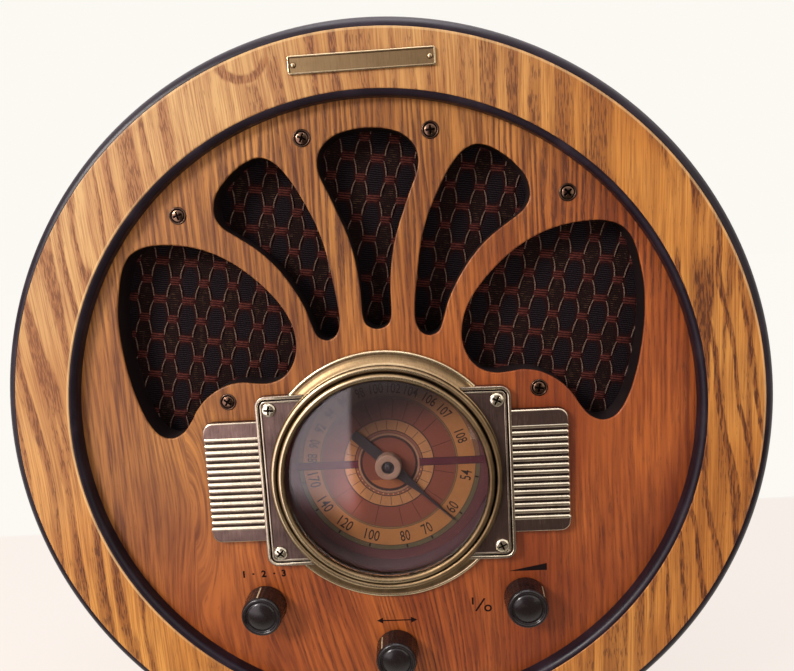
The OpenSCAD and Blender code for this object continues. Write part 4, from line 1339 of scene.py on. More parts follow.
@dataclass
class FrontFrame:
    """The oak ring, its two black round-overs and the oak panel with its openings."""

    ring_outer: float = 166.8
    ring_inner: float = 142.0
    ring_depth: float = 15.0
    rabbet: float = 151.0
    outer_bead: tuple[float, float] = (5.2, 8.0)
    inner_bead: float = 2.7
    cut: float = -158.0
    panel_back: float = 20.6
    cup_hole: float = 3.9
    ease: float = 0.7
    steps: int = 288

    def build(self) -> None:
        """Makes the ring, the beads, the panel and their fixings."""
        self.ring()
        self.beads()
        self.panel()
        self.panel_screws()
        self.name_plate()

    def ring(self) -> None:
        """The golden ring: a rabbeted profile turned about the middle, its front edges eased."""
        i, o, b = self.ring_inner, self.ring_outer, -self.ring_depth
        corners = [[i, 0], [o, 0], [o, b], [self.rabbet, b], [self.rabbet, -PANEL_Y], [i, -PANEL_Y]]
        profile = eased(corners, [self.ease, self.ease, 0.3, 0.3, 0.2, 0.2])
        form = Form().grid(turned(profile, self.steps, (0, 0), 0.0), True, True)
        piece = form.build("oak_ring_front", [OAK_RING])
        cut_level(piece, self.cut)
        seat(piece, "cabinet", "oak_ring", "front_ring")

    def beads(self) -> None:
        """The round-overs: a quarter of an ellipse outside the oak and a quarter round inside it."""
        c = np.linspace(0, np.pi / 2, 13)
        o, (wide, deep) = self.ring_outer, self.outer_bead
        outer = np.concatenate([
            [[o, -self.ring_depth], [o + wide - 0.3, -self.ring_depth], [o + wide, -self.ring_depth + 0.3]],
            np.stack([o + wide * np.cos(c), -deep - 0.25 + deep * np.sin(c)], -1),
            [[o, -0.6]],
        ])
        form = Form().grid(turned(outer, self.steps, (0, 0), 0.0), True, True)
        piece = form.build("outer_round_over", [BLACK])
        cut_level(piece, self.cut)
        seat(piece, "cabinet", "black_lacquer", "outer_bead")
        i, r = self.ring_inner, self.inner_bead
        inner = np.concatenate([
            np.stack([i - r * np.cos(c), -r - 0.3 + r * np.sin(c)], -1),
            [[i, -0.6], [i, -PANEL_Y], [i - r, -PANEL_Y]],
        ])
        form = Form().grid(turned(inner, self.steps, (0, 0), 0.0), True, True)
        seat(form.build("inner_round_over", [BLACK]), "cabinet", "black_lacquer", "inner_bead")

    def panel(self) -> None:
        """The panel: an eased edge and a dark wall carried round each opening, and flat faces."""
        c = np.linspace(0, np.pi / 2, 5)
        wood = np.stack([self.ease * (1 - np.sin(c)), self.ease * (np.cos(c) - 1)], -1)
        wall = np.array([[0.0, -self.ease], [0.0, PANEL_Y - self.panel_back]])
        through = np.array([[0.0, 0.0], [0.0, PANEL_Y - self.panel_back]])
        form = Form()
        openings = rays()
        holes = control_holes(128, 24)
        holes += [round_path(self.cup_hole, 32, (side * x, z)) for side in (-1, 1) for x, z in PANEL_SCREWS]
        for path in openings:
            form.grid(carried(path, wood, PANEL_Y), wrap_u=True)
            form.grid(carried(path, wall, PANEL_Y), wrap_u=True, slot=1)
        for path in holes:
            form.grid(carried(path, through, PANEL_Y), wrap_u=True, slot=1)
        rim = sheet_outline(256)
        form.grid(carried(rim, through, PANEL_Y), wrap_u=True)
        eased_paths = [path + outward(path) * self.ease for path in openings]
        form.flat([rim, *eased_paths, *holes], PANEL_Y)
        form.flat([rim, *openings, *holes], self.panel_back)
        seat(form.build("oak_panel_front", [OAK_PANEL, CUT_EDGE]), "cabinet", "oak_panel", "front_panel")

    def panel_screws(self) -> None:
        """Six bronzed screws, each in a cup washer turned from a hollow profile."""
        form = Form()
        cup = eased(
            [[0.0, -1.1], [3.8, -1.1], [3.85, 0.15], [3.5, 0.55], [3.1, 0.42], [2.75, 0.0], [0.0, -0.1]],
            [0, 0.1, 0.2, 0.25, 0.2, 0.3, 0], 4,
        )
        wear = np.repeat([0.1, 0.1, 0.55, 0.75, 0.4, 0.1, 0.1], 4)[None]
        stem = np.array([[0.0, -13.0], [1.9, -13.0], [2.0, -1.0], [0.0, -1.0]])
        for k, (side, (x, z)) in enumerate((s, p) for s in (-1, 1) for p in PANEL_SCREWS):
            form.grid(turned(cup, 48, (side * x, z), PANEL_Y), wrap_u=True, wrap_v=True, wear=wear)
            form.grid(turned(stem, 16, (side * x, z), PANEL_Y), wrap_u=True, wrap_v=True, wear=0.1)
            screw_head(form, side * x, PANEL_Y + 0.05, z, 2.65, 1.0, 0.4 + 0.9 * k)
        seat(form.build("bronzed_screws", [BRONZE]), "cabinet", "bronzed_steel", "panel_screws")

    def name_plate(self) -> None:
        """The bare plate on the ring: a raised rim round a sunk field, and two rivets."""
        form = Form()
        path = rounded_path(61.5, 7.5, 1.0, (0.6, 153.0))
        profile = np.array([
            [0, 0], [0, 1.1], [-0.12, 1.25], [-0.35, 1.32], [-0.62, 1.25], [-0.78, 1.0], [-0.85, 0.72],
        ])
        wear = np.array([0.1, 0.5, 0.74, 0.74, 0.66, 0.2, 0.15])
        form.grid(carried(path, profile, 0.0), wrap_u=True, wear=wear[None])
        form.flat([path + outward(path) * -0.85], -0.72, wear=0.36)
        form.flat([path], 0.0, wear=0.1)
        dome = np.array([[1.25, 0.6], [1.2, 0.85], [0.9, 1.2], [0.5, 1.4], [0.0, 1.46], [0.0, 0.6]])
        ring = np.array([0.1, 0.12, 0.5, 0.6, 0.6, 0.4])
        for x in (-27.8, 29.0):
            form.grid(turned(dome, 24, (x, 153.0), 0.0), wrap_u=True, wrap_v=True, wear=ring[None])
        seat(form.build("bare_name_plate", [BRASS]), "cabinet", "antique_brass", "nameplate")


@dataclass
class GrilleCloth:
    """The woven cloth behind the openings: a dark ground, maroon knots and beige threads."""

    front: float = 20.75
    back: float = 21.2
    first: tuple[float, float] = (-102.31, 57.66)
    beside: tuple[float, float] = (13.36, -1.89)
    below: tuple[float, float] = (-3.09, -17.755)
    wide_knot: tuple[float, float] = (3.2, 2.0)
    narrow_knot: tuple[float, float] = (2.5, 2.15)
    knot_rise: float = 0.8
    thread: float = 0.33
    thread_bow: float = 0.35

    def build(self) -> None:
        """Makes the ground, the knots and the threads."""
        self.ground()
        wide, narrow = self.knots_in_view()
        self.knots(wide, narrow)
        self.threads(wide, narrow)

    def lay(self) -> Array:
        """The matrix that turns x, 1, z into the place in the weave's repeat."""
        inverse = np.linalg.inv(np.array([self.beside, self.below]).T)
        shift = -inverse @ np.array(self.first)
        return np.array([
            [inverse[0, 0], shift[0], inverse[0, 1]],
            [inverse[1, 0], shift[1], inverse[1, 1]],
            [0.0, 0.0, 0.0],
        ])

    def knots_in_view(self) -> tuple[Array, Array]:
        """Middles of the wide and of the narrow knots that show in an opening, or nearly do."""
        i, j = np.meshgrid(np.arange(-8, 28), np.arange(-8, 8))
        kinds = []
        for shift in (0.0, 0.5):
            steps = np.stack([i + shift, j + shift], -1).reshape(-1, 2)
            spots = np.array(self.first) + steps @ np.array([self.beside, self.below])
            near = np.zeros(len(spots), bool)
            for path in rays():
                near |= inside(spots, path + outward(path) * 9.0)
            kinds.append(spots[near])
        return kinds[0], kinds[1]

    def axes(self) -> Array:
        """Unit vectors along and up the weave's rows."""
        along = np.array(self.beside) / np.hypot(*self.beside)
        return np.array([along, [-along[1], along[0]]])

    def ground(self) -> None:
        """The ground: a flat sheet that carries its place in the repeat."""
        path, holes = sheet_outline(128), control_holes(96, 16)
        form = Form().flat([path, *holes], self.front).flat([path, *holes], self.back)
        edge = np.array([[0.0, 0.0], [0.0, self.front - self.back]])
        for loop in (path, *holes):
            form.grid(carried(loop, edge, self.front), wrap_u=True)
        piece = form.build("cloth_ground_sheet", [FINISHES["grille_weave"]], lay=self.lay())
        seat(piece, "cabinet", "grille_weave", "grille_cloth")

    def knots(self, wide: Array, narrow: Array) -> None:
        """The knots: pillows raised from the ground.

        Formula: over the knot's half width a and half height b, the height is 0.8 mm times
        (1 - u^6)(1 - v^4) less 0.05 mm, with u and v from -1 to 1 across it. A tenth is taken
        off the half height in the middle.

        Args:
            wide: The middles of the wide knots.
            narrow: The middles of the narrow ones.
        """
        u, v = np.meshgrid(np.linspace(-1, 1, 9), np.linspace(-1, 1, 6), indexing="ij")
        lift = self.knot_rise * (1 - u**6) * (1 - v**4) - 0.05
        e = self.axes()
        form = Form()
        for spots, (a, b) in ((wide, self.wide_knot), (narrow, self.narrow_knot)):
            pinch = 1 - 0.1 * (1 - np.abs(u) ** 2)
            local = np.stack([u * a, v * b * pinch], -1) @ e
            for spot in spots:
                form.grid(np.stack([local[..., 0] + spot[0], self.front - lift, local[..., 1] + spot[1]], -1))
        piece = form.build("cloth_knots", [KNOT], closed=False)
        seat(piece, "cabinet", "grille_weave")

    def threads(self, wide: Array, narrow: Array) -> None:
        """The threads between the knots' corners, as thin tubes.

        Formula: a thread runs straight from one knot's lower corner to the next knot's upper
        corner, bowed sideways and lifted by 0.35 mm in the middle, as half sines.

        Args:
            wide: The middles of the wide knots.
            narrow: The middles of the narrow ones.
        """
        e = self.axes()
        t = np.linspace(0, 1, 9)[:, None]
        a = np.linspace(0, 2 * np.pi, 6, endpoint=False)[None, :]
        form = Form()
        spans = ((wide, (3.0, -1.1), (4.55, -7.8)), (narrow, (2.1, -1.2), (3.65, -7.8)))
        for spots, start, end in spans:
            for side in (-1.0, 1.0):
                s = np.array([side * start[0], start[1]])
                f = np.array([side * end[0], end[1]])
                bow = np.sin(t * np.pi)
                mid = s + (f - s) * t + np.array([side * self.thread_bow, 0.0]) * bow
                radius = self.thread * (0.75 + 0.25 * bow)
                local = mid[:, None] + np.stack([radius * np.cos(a), 0 * a * radius], -1)
                flat = local @ e
                depth = self.front - 0.25 - self.thread_bow * bow - radius * np.sin(a) * 0.8
                for spot in spots:
                    tube = np.stack([flat[..., 0] + spot[0], depth, flat[..., 1] + spot[1]], -1)
                    form.grid(tube, wrap_v=True)
        piece = form.build("cloth_threads", [THREAD], closed=False)
        seat(piece, "cabinet", "grille_weave")


def inside(spots: Array, path: Array) -> Array:
    """Tells which points lie within a closed path, by counting the sides that a level ray crosses.

    Args:
        spots: The points.
        path: The path.

    Returns:
        True or False for each point.
    """
    a, b = path[None], np.roll(path, -1, 0)[None]
    x, z = spots[:, :1], spots[:, 1:]
    across = (a[..., 1] > z) != (b[..., 1] > z)
    rise = np.where(b[..., 1] == a[..., 1], 1e-9, b[..., 1] - a[..., 1])
    return (across & (x < (b[..., 0] - a[..., 0]) * (z - a[..., 1]) / rise + a[..., 0])).sum(1) % 2 == 1


@dataclass
class DialSet:
    """The brass plate and wings, the bezel, the glass and the printed dial with its pointer.

    The plate's start is how far from the middle its level edges begin, at the flange. The
    band heights are those of a wing's lower and upper plain band. The face is the depth of the
    printed dial.
    """

    half_width: float = 57.4
    half_height: float = 40.3
    plate: float = 3.65
    plate_corner: float = 4.8
    plate_start: float = 33.86
    face: float = 24.4
    wing_width: float = 25.2
    wing_height: float = 57.2
    wing_corner: float = 4.5
    band_heights: tuple[float, float] = (7.1, 8.3)
    ribs: int = 15
    rib: float = 1.22
    pitch: float = 3.05
    glass_radius: float = 45.2
    glass_rise: float = 6.4
    glass_thick: float = 1.8

    def build(self) -> None:
        """Makes every piece of the dial."""
        self.brass_plate()
        self.plate_screws()
        self.wings()
        self.bezel()
        self.glass()
        self.numbers()
        self.pointer()

    def brass_plate(self) -> None:
        """The round flange, and the plate's two sides beside it."""
        form = Form()
        self.flange(form)
        self.plate_sides(form)
        piece = form.build("brass_dial_plate", [PLATE_BRASS, BRASS], sharp=30.0)
        seat(piece, "cabinet", "antique_brass", "dial_plate")

    def flange(self, form: Form) -> None:
        """Adds the flange: a coved profile turned about the dial's middle, with painted highlights brightest
        at its top.

        Args:
            form: What the flange is added to.
        """
        corners = [
            [49.6, 0], [58.4, 0], [58.4, 1.75], [57.5, 2.15], [56.6, 1.75], [55.2, 1.95],
            [53.6, 2.9], [52.5, 3.9], [51.6, 4.3], [49.6, 4.1],
        ]
        profile = eased(corners, [0.2, 0.2, 0.5, 0.5, 0.4, 0.8, 0.9, 0.7, 0.5, 0.3], 5)
        wear = np.repeat([0.0, 0.2, 0.5, 0.9, 0.3, 0.2, 0.26, 0.34, 0.7, 0.0], 5)
        # Painted highlights: the wear is raised at the top and a little at the bottom, where light falls on
        # the flange.
        up = np.sin(np.linspace(0, 2 * np.pi, 256, endpoint=False))[:, None]
        lit = 0.65 + 0.95 * np.clip(up, 0, 1) ** 1.5 + 0.4 * np.clip(-up, 0, 1)
        form.grid(turned(profile, 256, (0, DIAL_Z), PANEL_Y), True, True, 1, np.clip(wear[None] * lit, 0, 1))

    def plate_sides(self, form: Form) -> None:
        """Adds the plate's right side, and its mirror image at the left.

        Formula: a double rim line is carried along the edge, and sinks over the ends of its way
        towards the flange. Flat faces, and a wall along an arc at the flange, close the side.

        Args:
            form: What the sides are added to.
        """
        whole = rounded_path(2 * self.half_width, 2 * self.half_height, self.plate_corner)
        upper, lower = [[self.plate_start, self.half_height]], [[self.plate_start, -self.half_height]]
        right = np.concatenate([whole[-CORNER_STEPS:], whole[:CORNER_STEPS]])
        path = np.concatenate([self.fine(lower[0], right[0]), right, self.fine(right[-1], upper[0])])
        rim = eased(
            [[-3.3, 0], [0, 0], [0, 4.35], [-1.35, 4.35], [-1.6, 3.7], [-2.2, 3.7],
             [-2.35, 4.1], [-3.1, 4.1], [-3.3, 3.65]],
            [0.1, 0.1, 0.55, 0.5, 0.12, 0.12, 0.2, 0.25, 0.1], 5,
        )
        rim_wear = np.repeat([0.2, 0.2, 0.62, 0.95, 0.0, 0.0, 0.8, 0.6, 0.3], 5)
        ends = np.minimum(np.arange(len(path)), np.arange(len(path))[::-1]) / 10.0
        ends = np.clip(ends, 0, 1) ** 0.8
        low = np.minimum(rim[:, 1], self.plate)
        heights = low[None] + (rim[:, 1] - low)[None] * ends[:, None]
        grid = carried(path, rim, PANEL_Y, ring=False)
        grid[..., 1] = PANEL_Y - heights
        inner = path + outward(path, ring=False) * rim[-1, 0]
        arc_start, arc_end = np.arctan2(*inner[-1][::-1]), np.arctan2(*inner[0][::-1])
        reach = float(np.hypot(*inner[0]))
        a = np.linspace(arc_start, arc_end, 40)[1:-1]
        arc = np.stack([reach * np.cos(a), reach * np.sin(a)], -1)
        loop = np.concatenate([inner, arc])
        loop[:, 1] += DIAL_Z
        wall = np.concatenate([inner[-1:], arc, inner[:1]])
        heights_wall = np.array([0.0, self.plate])
        wall_grid = np.stack([
            np.repeat(wall[:, :1], 2, 1), PANEL_Y - np.repeat(heights_wall[None], len(wall), 0),
            np.repeat(wall[:, 1:] + DIAL_Z, 2, 1)], -1)
        grid[..., 2] += DIAL_Z
        for side in (1.0, -1.0):
            flip = np.array([side, 1.0, 1.0])
            form.grid(grid * flip, wear=rim_wear[None])
            form.grid(wall_grid * flip, wear=0.3)
            form.flat([loop * [side, 1.0]], PANEL_Y - self.plate, wear=0.3)
            form.flat([loop * [side, 1.0]], PANEL_Y, wear=0.1)

    def fine(self, start: Sequence[float], end: Sequence[float]) -> Array:
        """Fourteen points along a straight line, without its end."""
        t = np.linspace(0, 1, 14, endpoint=False)[:, None]
        return np.asarray(start) * (1 - t) + np.asarray(end) * t

    def plate_screws(self) -> None:
        """Four bright screws in the plate's corners, on turned seats."""
        form = Form()
        seat_ring = eased(
            [[0, 0], [3.1, 0], [3.1, 0.7], [2.8, 0.9], [0, 0.3]], [0, 0.05, 0.2, 0.2, 0], 4
        )
        wear = np.repeat([0.0, 0.1, 0.85, 0.95, 0.4], 4)[None]
        base = PANEL_Y - self.plate
        for k, (sx, sz) in enumerate(((-1, 1), (1, 1), (-1, -1), (1, -1))):
            x, z = sx * PLATE_SCREWS[0], sz * PLATE_SCREWS[1] + DIAL_Z
            form.grid(turned(seat_ring, 48, (x, z), base), wrap_u=True, wrap_v=True, wear=wear)
            screw_head(form, x, base - 0.7, z, 2.9, 1.05, 0.1 + 0.35 * k)
        seat(form.build("bright_plate_screws", [BRIGHT]), "cabinet", "bright_brass", "plate_screws")

    def wings(self) -> None:
        """The two ribbed wings.

        Formula: each rib is a bar whose radius follows a quarter circle to nothing over its
        outer end. The base and the two plain bands are slabs with eased edges.
        """
        half, z0 = self.wing_height / 2, DIAL_Z + 0.3
        x0, x1 = self.half_width - 1.5, self.half_width + self.wing_width
        corner, (low_band, high_band) = self.wing_corner, self.band_heights
        c = np.linspace(0, np.pi / 2, 7)
        quarter = corner * np.stack([np.cos(c), np.sin(c)], -1)
        low_corner = [[x1 - corner, z0 - half + corner]] + quarter[::-1] * [1, -1]
        high_corner = [[x1 - corner, z0 + half - corner]] + quarter
        base = np.concatenate([[[x0, z0 - half]], low_corner, high_corner, [[x0, z0 + half]]])
        band_low = np.concatenate([
            [[x0, z0 - half]], low_corner, [[x1, z0 - half + low_band], [x0, z0 - half + low_band]],
        ])
        band_high = np.concatenate([
            [[x1, z0 + half - high_band]], high_corner, [[x0, z0 + half], [x0, z0 + half - high_band]],
        ])
        u = np.concatenate([np.linspace(0, 1, 8), 1 + np.linspace(0, 1, 7)[1:]])[:, None]
        v = np.linspace(0, 2 * np.pi, 20, endpoint=False)[None, :]
        bend = np.clip(u - 1, 0, 1) * np.pi / 2
        radius = self.rib
        rib_x = np.where(u <= 1, x0 + (x1 - radius * 0.9 - x0) * u, x1 - radius * 0.9 + radius * np.sin(bend))
        size = np.where(u <= 1, radius, radius * np.cos(bend))
        for side, name in ((1.0, "right_wing"), (-1.0, "left_wing")):
            form = Form()
            flip = [side, 1.0]
            turn = slice(None) if side > 0 else slice(None, None, -1)
            form.block((base * flip)[turn], 0.0, 2.5, 0.5, PANEL_Y, 0.12)
            form.block((band_low * flip)[turn], 2.0, 3.6, 0.9, PANEL_Y, 0.36)
            form.block((band_high * flip)[turn], 2.0, 3.6, 0.9, PANEL_Y, 0.36)
            for k in range(self.ribs):
                z = z0 + (k - (self.ribs - 1) / 2) * self.pitch - 0.6
                points = np.stack([
                    side * (rib_x + 0 * v), PANEL_Y - 2.55 - size * np.sin(v), z + size * np.cos(v),
                ], -1)
                # Rubbing on each rib's crest, turned a little towards the top where light falls: partly a
                # painted highlight.
                wear = 0.1 + 0.9 * np.clip(np.sin(v + 0.3), 0, 1) ** 1.7 + 0 * u
                form.grid(points, wrap_v=True, wear=wear)
            seat(form.build("ribbed_" + name, [PLATE_BRASS]), "cabinet", "antique_brass", name)

    def bezel(self) -> None:
        """The bezel: two rolls with a groove between, turned about the dial's middle, with painted shade
        dimming its crests at the right.
        """
        big = np.radians(np.linspace(-80, 172, 25))
        small = np.radians(np.linspace(2, 215, 25))
        outer = np.stack([51.0 + 1.6 * np.cos(big), -0.7 + 1.6 * np.sin(big)], -1)
        inner = np.stack([47.45 + 1.65 * np.cos(small), 0.4 + 1.65 * np.sin(small)], -1)
        profile = np.concatenate([[[46.5, -7.0], [50.3, -7.0], [50.3, -2.1]], outer, inner, [[46.5, -1.5]]])
        wear = np.concatenate([
            [0.0, 0.0, 0.0], 0.1 + 0.85 * np.clip(np.sin(big), 0, 1) ** 5,
            0.1 + 0.85 * np.clip(np.sin(small), 0, 1) ** 5, [0.0],
        ])
        a = np.linspace(0, 2 * np.pi, 256, endpoint=False)[:, None]
        # Painted shade: the rubbed crests are dimmer at the right and a little at the left, away from the
        # light.
        lit = 0.92 - 0.45 * np.clip(np.cos(a + 0.3), 0, 1) - 0.12 * np.abs(np.cos(a))
        form = Form().grid(turned(profile, 256, (0, DIAL_Z), 0.0), True, True, wear=wear[None] * lit)
        seat(form.build("rolled_bezel", [BRASS]), "cabinet", "antique_brass", "dial_bezel")

    def glass(self) -> None:
        """The glass: a shallow dome.

        Formula: a ball's cap of a given rise over a given radius, with a second cap behind it
        and a flat rim.
        """
        rim, rise = self.glass_radius, self.glass_rise
        ball = (rim * rim + rise * rise) / (2 * rise)
        r = rim * np.sin(np.linspace(0, np.pi / 2, 25))
        front = np.stack([r, -1.1 + rise - ball + np.sqrt(ball**2 - r**2)], -1)
        back = front[::-1] - [0.0, self.glass_thick]
        profile = np.concatenate([front, [[46.3, -1.3], [46.3, -3.0]], back])
        form = Form().grid(turned(profile, 192, (0, DIAL_Z), 0.0), wrap_u=True)
        seat(form.build("domed_glass", [DIAL_GLASS], sharp=50), "cabinet", "dial_glass", "dial_glass")

    def numbers(self) -> None:
        """The dial's numbers, and the fine lines that lead to them."""
        form = Form()
        lower = {
            54: -11.4, 60: -38.3, 70: -63.6, 80: -81.1, 100: -106.0, 120: -127.9, 140: -148.8, 170: -169.2,
        }
        upper = {
            88: 173.7, 90: 162.6, 92: 149.6, 94: 136.0, 96: 122.7, 98: 108.6,
            100: 96.0, 102: 83.0, 104: 70.0, 106: 55.0, 107: 41.0, 108: 18.6,
        }
        y = self.face - 0.03
        for number, angle in lower.items():
            lettered(form, str(number), 37.3, angle, 5.4, 2.4, y, inward=True)
        for number, angle in upper.items():
            lettered(form, str(number), 37.0, angle, 4.8, 2.1, y, inward=False)
        lines = [(a, 22.3, 31.6, 0.22) for a in (*lower.values(), *upper.values())]
        lines += [(a, 41.7, 43.4, 0.8) for a in lower.values()]
        lines += [(a, 41.9, 43.2, 0.3) for a in upper.values()]
        for angle, r0, r1, width in lines:
            a = math.radians(angle)
            along = np.array([math.cos(a), math.sin(a)])
            across = np.array([-math.sin(a), math.cos(a)]) * width / 2
            ends = np.array([
                [along * r0 - across, along * r0 + across], [along * r1 - across, along * r1 + across],
            ])
            points = np.stack([ends[..., 0], np.full((2, 2), y), ends[..., 1] + DIAL_Z], -1)
            form.grid(points)
        piece = form.build("dial_numbers", [DIAL_INK], closed=False)
        seat(piece, "cabinet", "dial_print")

    def pointer(self) -> None:
        """The pointer, its edges eased, and the pale ring round its hub."""
        refine("pointer", 0.15, POINTER)
        profile = eased(
            [[3.0, 6.4], [3.0, 7.2], [5.9, 7.2], [6.2, 6.4], [6.2, 2.0], [3.0, 2.0]],
            [0.2, 0.5, 0.6, 0.2, 0.1, 0.1], 5,
        )
        form = Form().grid(turned(profile, 64, (0, DIAL_Z), self.face), wrap_u=True, wrap_v=True)
        boss = eased(
            [[0.0, 5.0], [2.95, 5.0], [2.95, 5.9], [1.5, 5.95], [1.3, 6.5], [0.0, 6.6]],
            [0, 0.1, 0.2, 0.2, 0.3, 0], 4,
        )
        form.grid(turned(boss, 48, (0, DIAL_Z), self.face), wrap_u=True, wrap_v=True, slot=1)
        seat(form.build("pointer_hub_ring", [HUB, POINTER]), "dial_drive", "pointer_paint")


def lettered(
    form: Form, text: str, radius: float, angle: float, height: float, pitch: float, y: float, inward: bool
) -> None:
    """Adds a number round the dial.

    Args:
        form: What the number is added to.
        text: The number.
        radius: Its distance from the dial's middle.
        angle: Its angle from the right, anticlockwise, in degrees.
        height: The height of its digits.
        pitch: The width of each digit.
        y: Its depth.
        inward: True where the digits' tops point to the middle.
    """
    points, faces = outline_of(text, 0.006)
    low, high = points.min(0), points.max(0)
    scale = np.array([pitch * len(text) / (high[0] - low[0]), height / (high[1] - low[1])])
    flat = (points - (low + high) / 2) * scale
    turn = math.radians(angle + (90.0 if inward else -90.0))
    turned_flat = flat @ np.array([[math.cos(turn), math.sin(turn)], [-math.sin(turn), math.cos(turn)]])
    a = math.radians(angle)
    middle = np.array([radius * math.cos(a), radius * math.sin(a) + DIAL_Z])
    form.flat_text(turned_flat + middle, faces, y)


def outline_of(text: str, weight: float) -> tuple[Array, list[list[int]]]:
    """The flat mesh of a short text.

    Args:
        text: The text.
        weight: How far its strokes are thickened, in parts of its size.

    Returns:
        Its points, in its own plane, and its faces.
    """
    curve = bpy.data.curves.new("digits", "FONT")
    curve.body, curve.size, curve.resolution_u, curve.offset = text, 1.0, 3, weight
    holder = bpy.data.objects.new("digits", curve)
    bpy.context.scene.collection.objects.link(holder)
    bpy.context.view_layer.update()
    mesh = bpy.data.meshes.new_from_object(holder.evaluated_get(bpy.context.evaluated_depsgraph_get()))
    points = np.zeros(len(mesh.vertices) * 3)
    mesh.vertices.foreach_get("co", points)
    faces = [list(polygon.vertices) for polygon in mesh.polygons]
    bpy.data.meshes.remove(mesh)
    bpy.data.objects.remove(holder)
    bpy.data.curves.remove(curve)
    return points.reshape(-1, 3)[:, :2], faces


@dataclass
class Controls:
    """The three knobs, and the plain signs printed beside them."""

    radius: float = 9.9
    height: float = 12.0
    flutes: int = 26

    def build(self) -> None:
        """Makes the knobs and the signs."""
        self.knob("band_knob", "band_control", BAND_SPOT, 98.0)
        self.knob("tuning_knob", "tuning_control", TUNING_SPOT, 133.0)
        self.knob("volume_knob", "volume_spindle", VOLUME_SPOT, 37.0)
        self.signs()

    def knob(self, node: str, body: str, spot: tuple[float, float], mark: float) -> None:
        """One knob with a fluted side, a rolled edge, a groove and a shallow dome.

        Formula: the profile is turned about the knob's axis, and the side's radius is less by
        0.2 mm times the square of the sine of half the flutes' angle.

        Args:
            node: The CAD node that the knob stands for.
            body: The body that it turns with.
            spot: The x and z of its axis.
            mark: The angle of its line, from the right, anticlockwise, in degrees.
        """
        r, h, (x, z) = self.radius, self.height, spot
        corners = [
            [0.0, 10.0], [3.0, 10.0], [3.0, 0.4], [r, 0.4], [r - 0.05, 2.0], [r - 0.5, h - 1.4],
            [r - 1.2, h - 0.2], [r - 2.2, h - 0.2], [r - 2.7, h - 1.15], [r - 3.3, h - 1.15],
            [r - 3.7, h - 0.75], [4.4, h - 0.05], [2.3, h + 0.4], [0.0, h + 0.5],
        ]
        profile = eased(corners, [0, 0, 0.3, 0.4, 0.4, 0.7, 0.75, 0.5, 0.3, 0.3, 0.5, 1.0, 1.0, 0], 5)
        steps = self.flutes * 8
        a = np.linspace(0, 2 * np.pi, steps, endpoint=False)[:, None]
        side = np.clip((profile[:, 1] - 0.6) / 0.8, 0, 1) * np.clip((h - 1.6 - profile[:, 1]) / 0.8, 0, 1)
        side = side * (profile[:, 0] > r - 1.5)
        radius = profile[:, 0] - 0.2 * side * np.sin(self.flutes * a / 2) ** 2
        depth = PANEL_Y - profile[:, 1] + 0 * a
        points = np.stack([x + radius * np.cos(a), depth, z + radius * np.sin(a)], -1)
        form = Form().grid(points, wrap_u=True)
        t = math.radians(mark)
        along = np.linspace(2.2, h - 1.1, 12)[:, None]
        across = np.array([-0.32, -0.3, 0.3, 0.32])[None, :]
        out = r - 0.5 * (along - 2) / (h - 3.4) + np.array([-0.3, 0.06, 0.06, -0.3])[None, :]
        line = np.stack([
            x + out * math.cos(t) - across * math.sin(t), PANEL_Y - along + 0 * across,
            z + out * math.sin(t) + across * math.cos(t),
        ], -1)
        form.grid(line, slot=1)
        piece = form.build(node + "_turned", [KNOB, CREAM])
        seat(piece, body, "knob_black", node)

    def signs(self) -> None:
        """The signs on the panel: places 1 to 3, a double arrow, a rising wedge, and a line and ring."""
        form = Form()
        y = PANEL_Y - 0.02
        for text, x, z, size in (
            ("1", -70.5, -73.6, 3.5), ("2", -61.0, -73.6, 3.5), ("3", -51.5, -73.6, 3.5),
            ("I", 36.6, -90.6, 3.6), ("O", 43.6, -94.4, 3.6),
        ):
            points, faces = outline_of(text, 0.045)
            low, high = points.min(0), points.max(0)
            flat = (points - (low + high) / 2) * size / (high[1] - low[1])
            form.flat_text(flat + [x, z], faces, y)
        outlines = [
            [[-65.5, -73.2], [-66.5, -73.2], [-66.5, -74.0], [-65.5, -74.0]],
            [[-55.5, -73.2], [-56.5, -73.2], [-56.5, -74.0], [-55.5, -74.0]],
            [[37.5, -95.6], [38.3, -95.9], [42.6, -89.6], [41.8, -89.3]],
            [[53.5, -76.4], [71.5, -76.4], [71.5, -73.0]],
            [[-9.0, -99.1], [-6.0, -97.6], [-6.0, -98.8], [7.2, -98.8], [7.2, -97.6], [10.2, -99.1],
             [7.2, -100.6], [7.2, -99.4], [-6.0, -99.4], [-6.0, -100.6]],
        ]
        for outline in outlines:
            form.flat([np.array(outline)], y)
        piece = form.build("panel_signs", [INK], closed=False)
        seat(piece, "cabinet", "oak_panel")


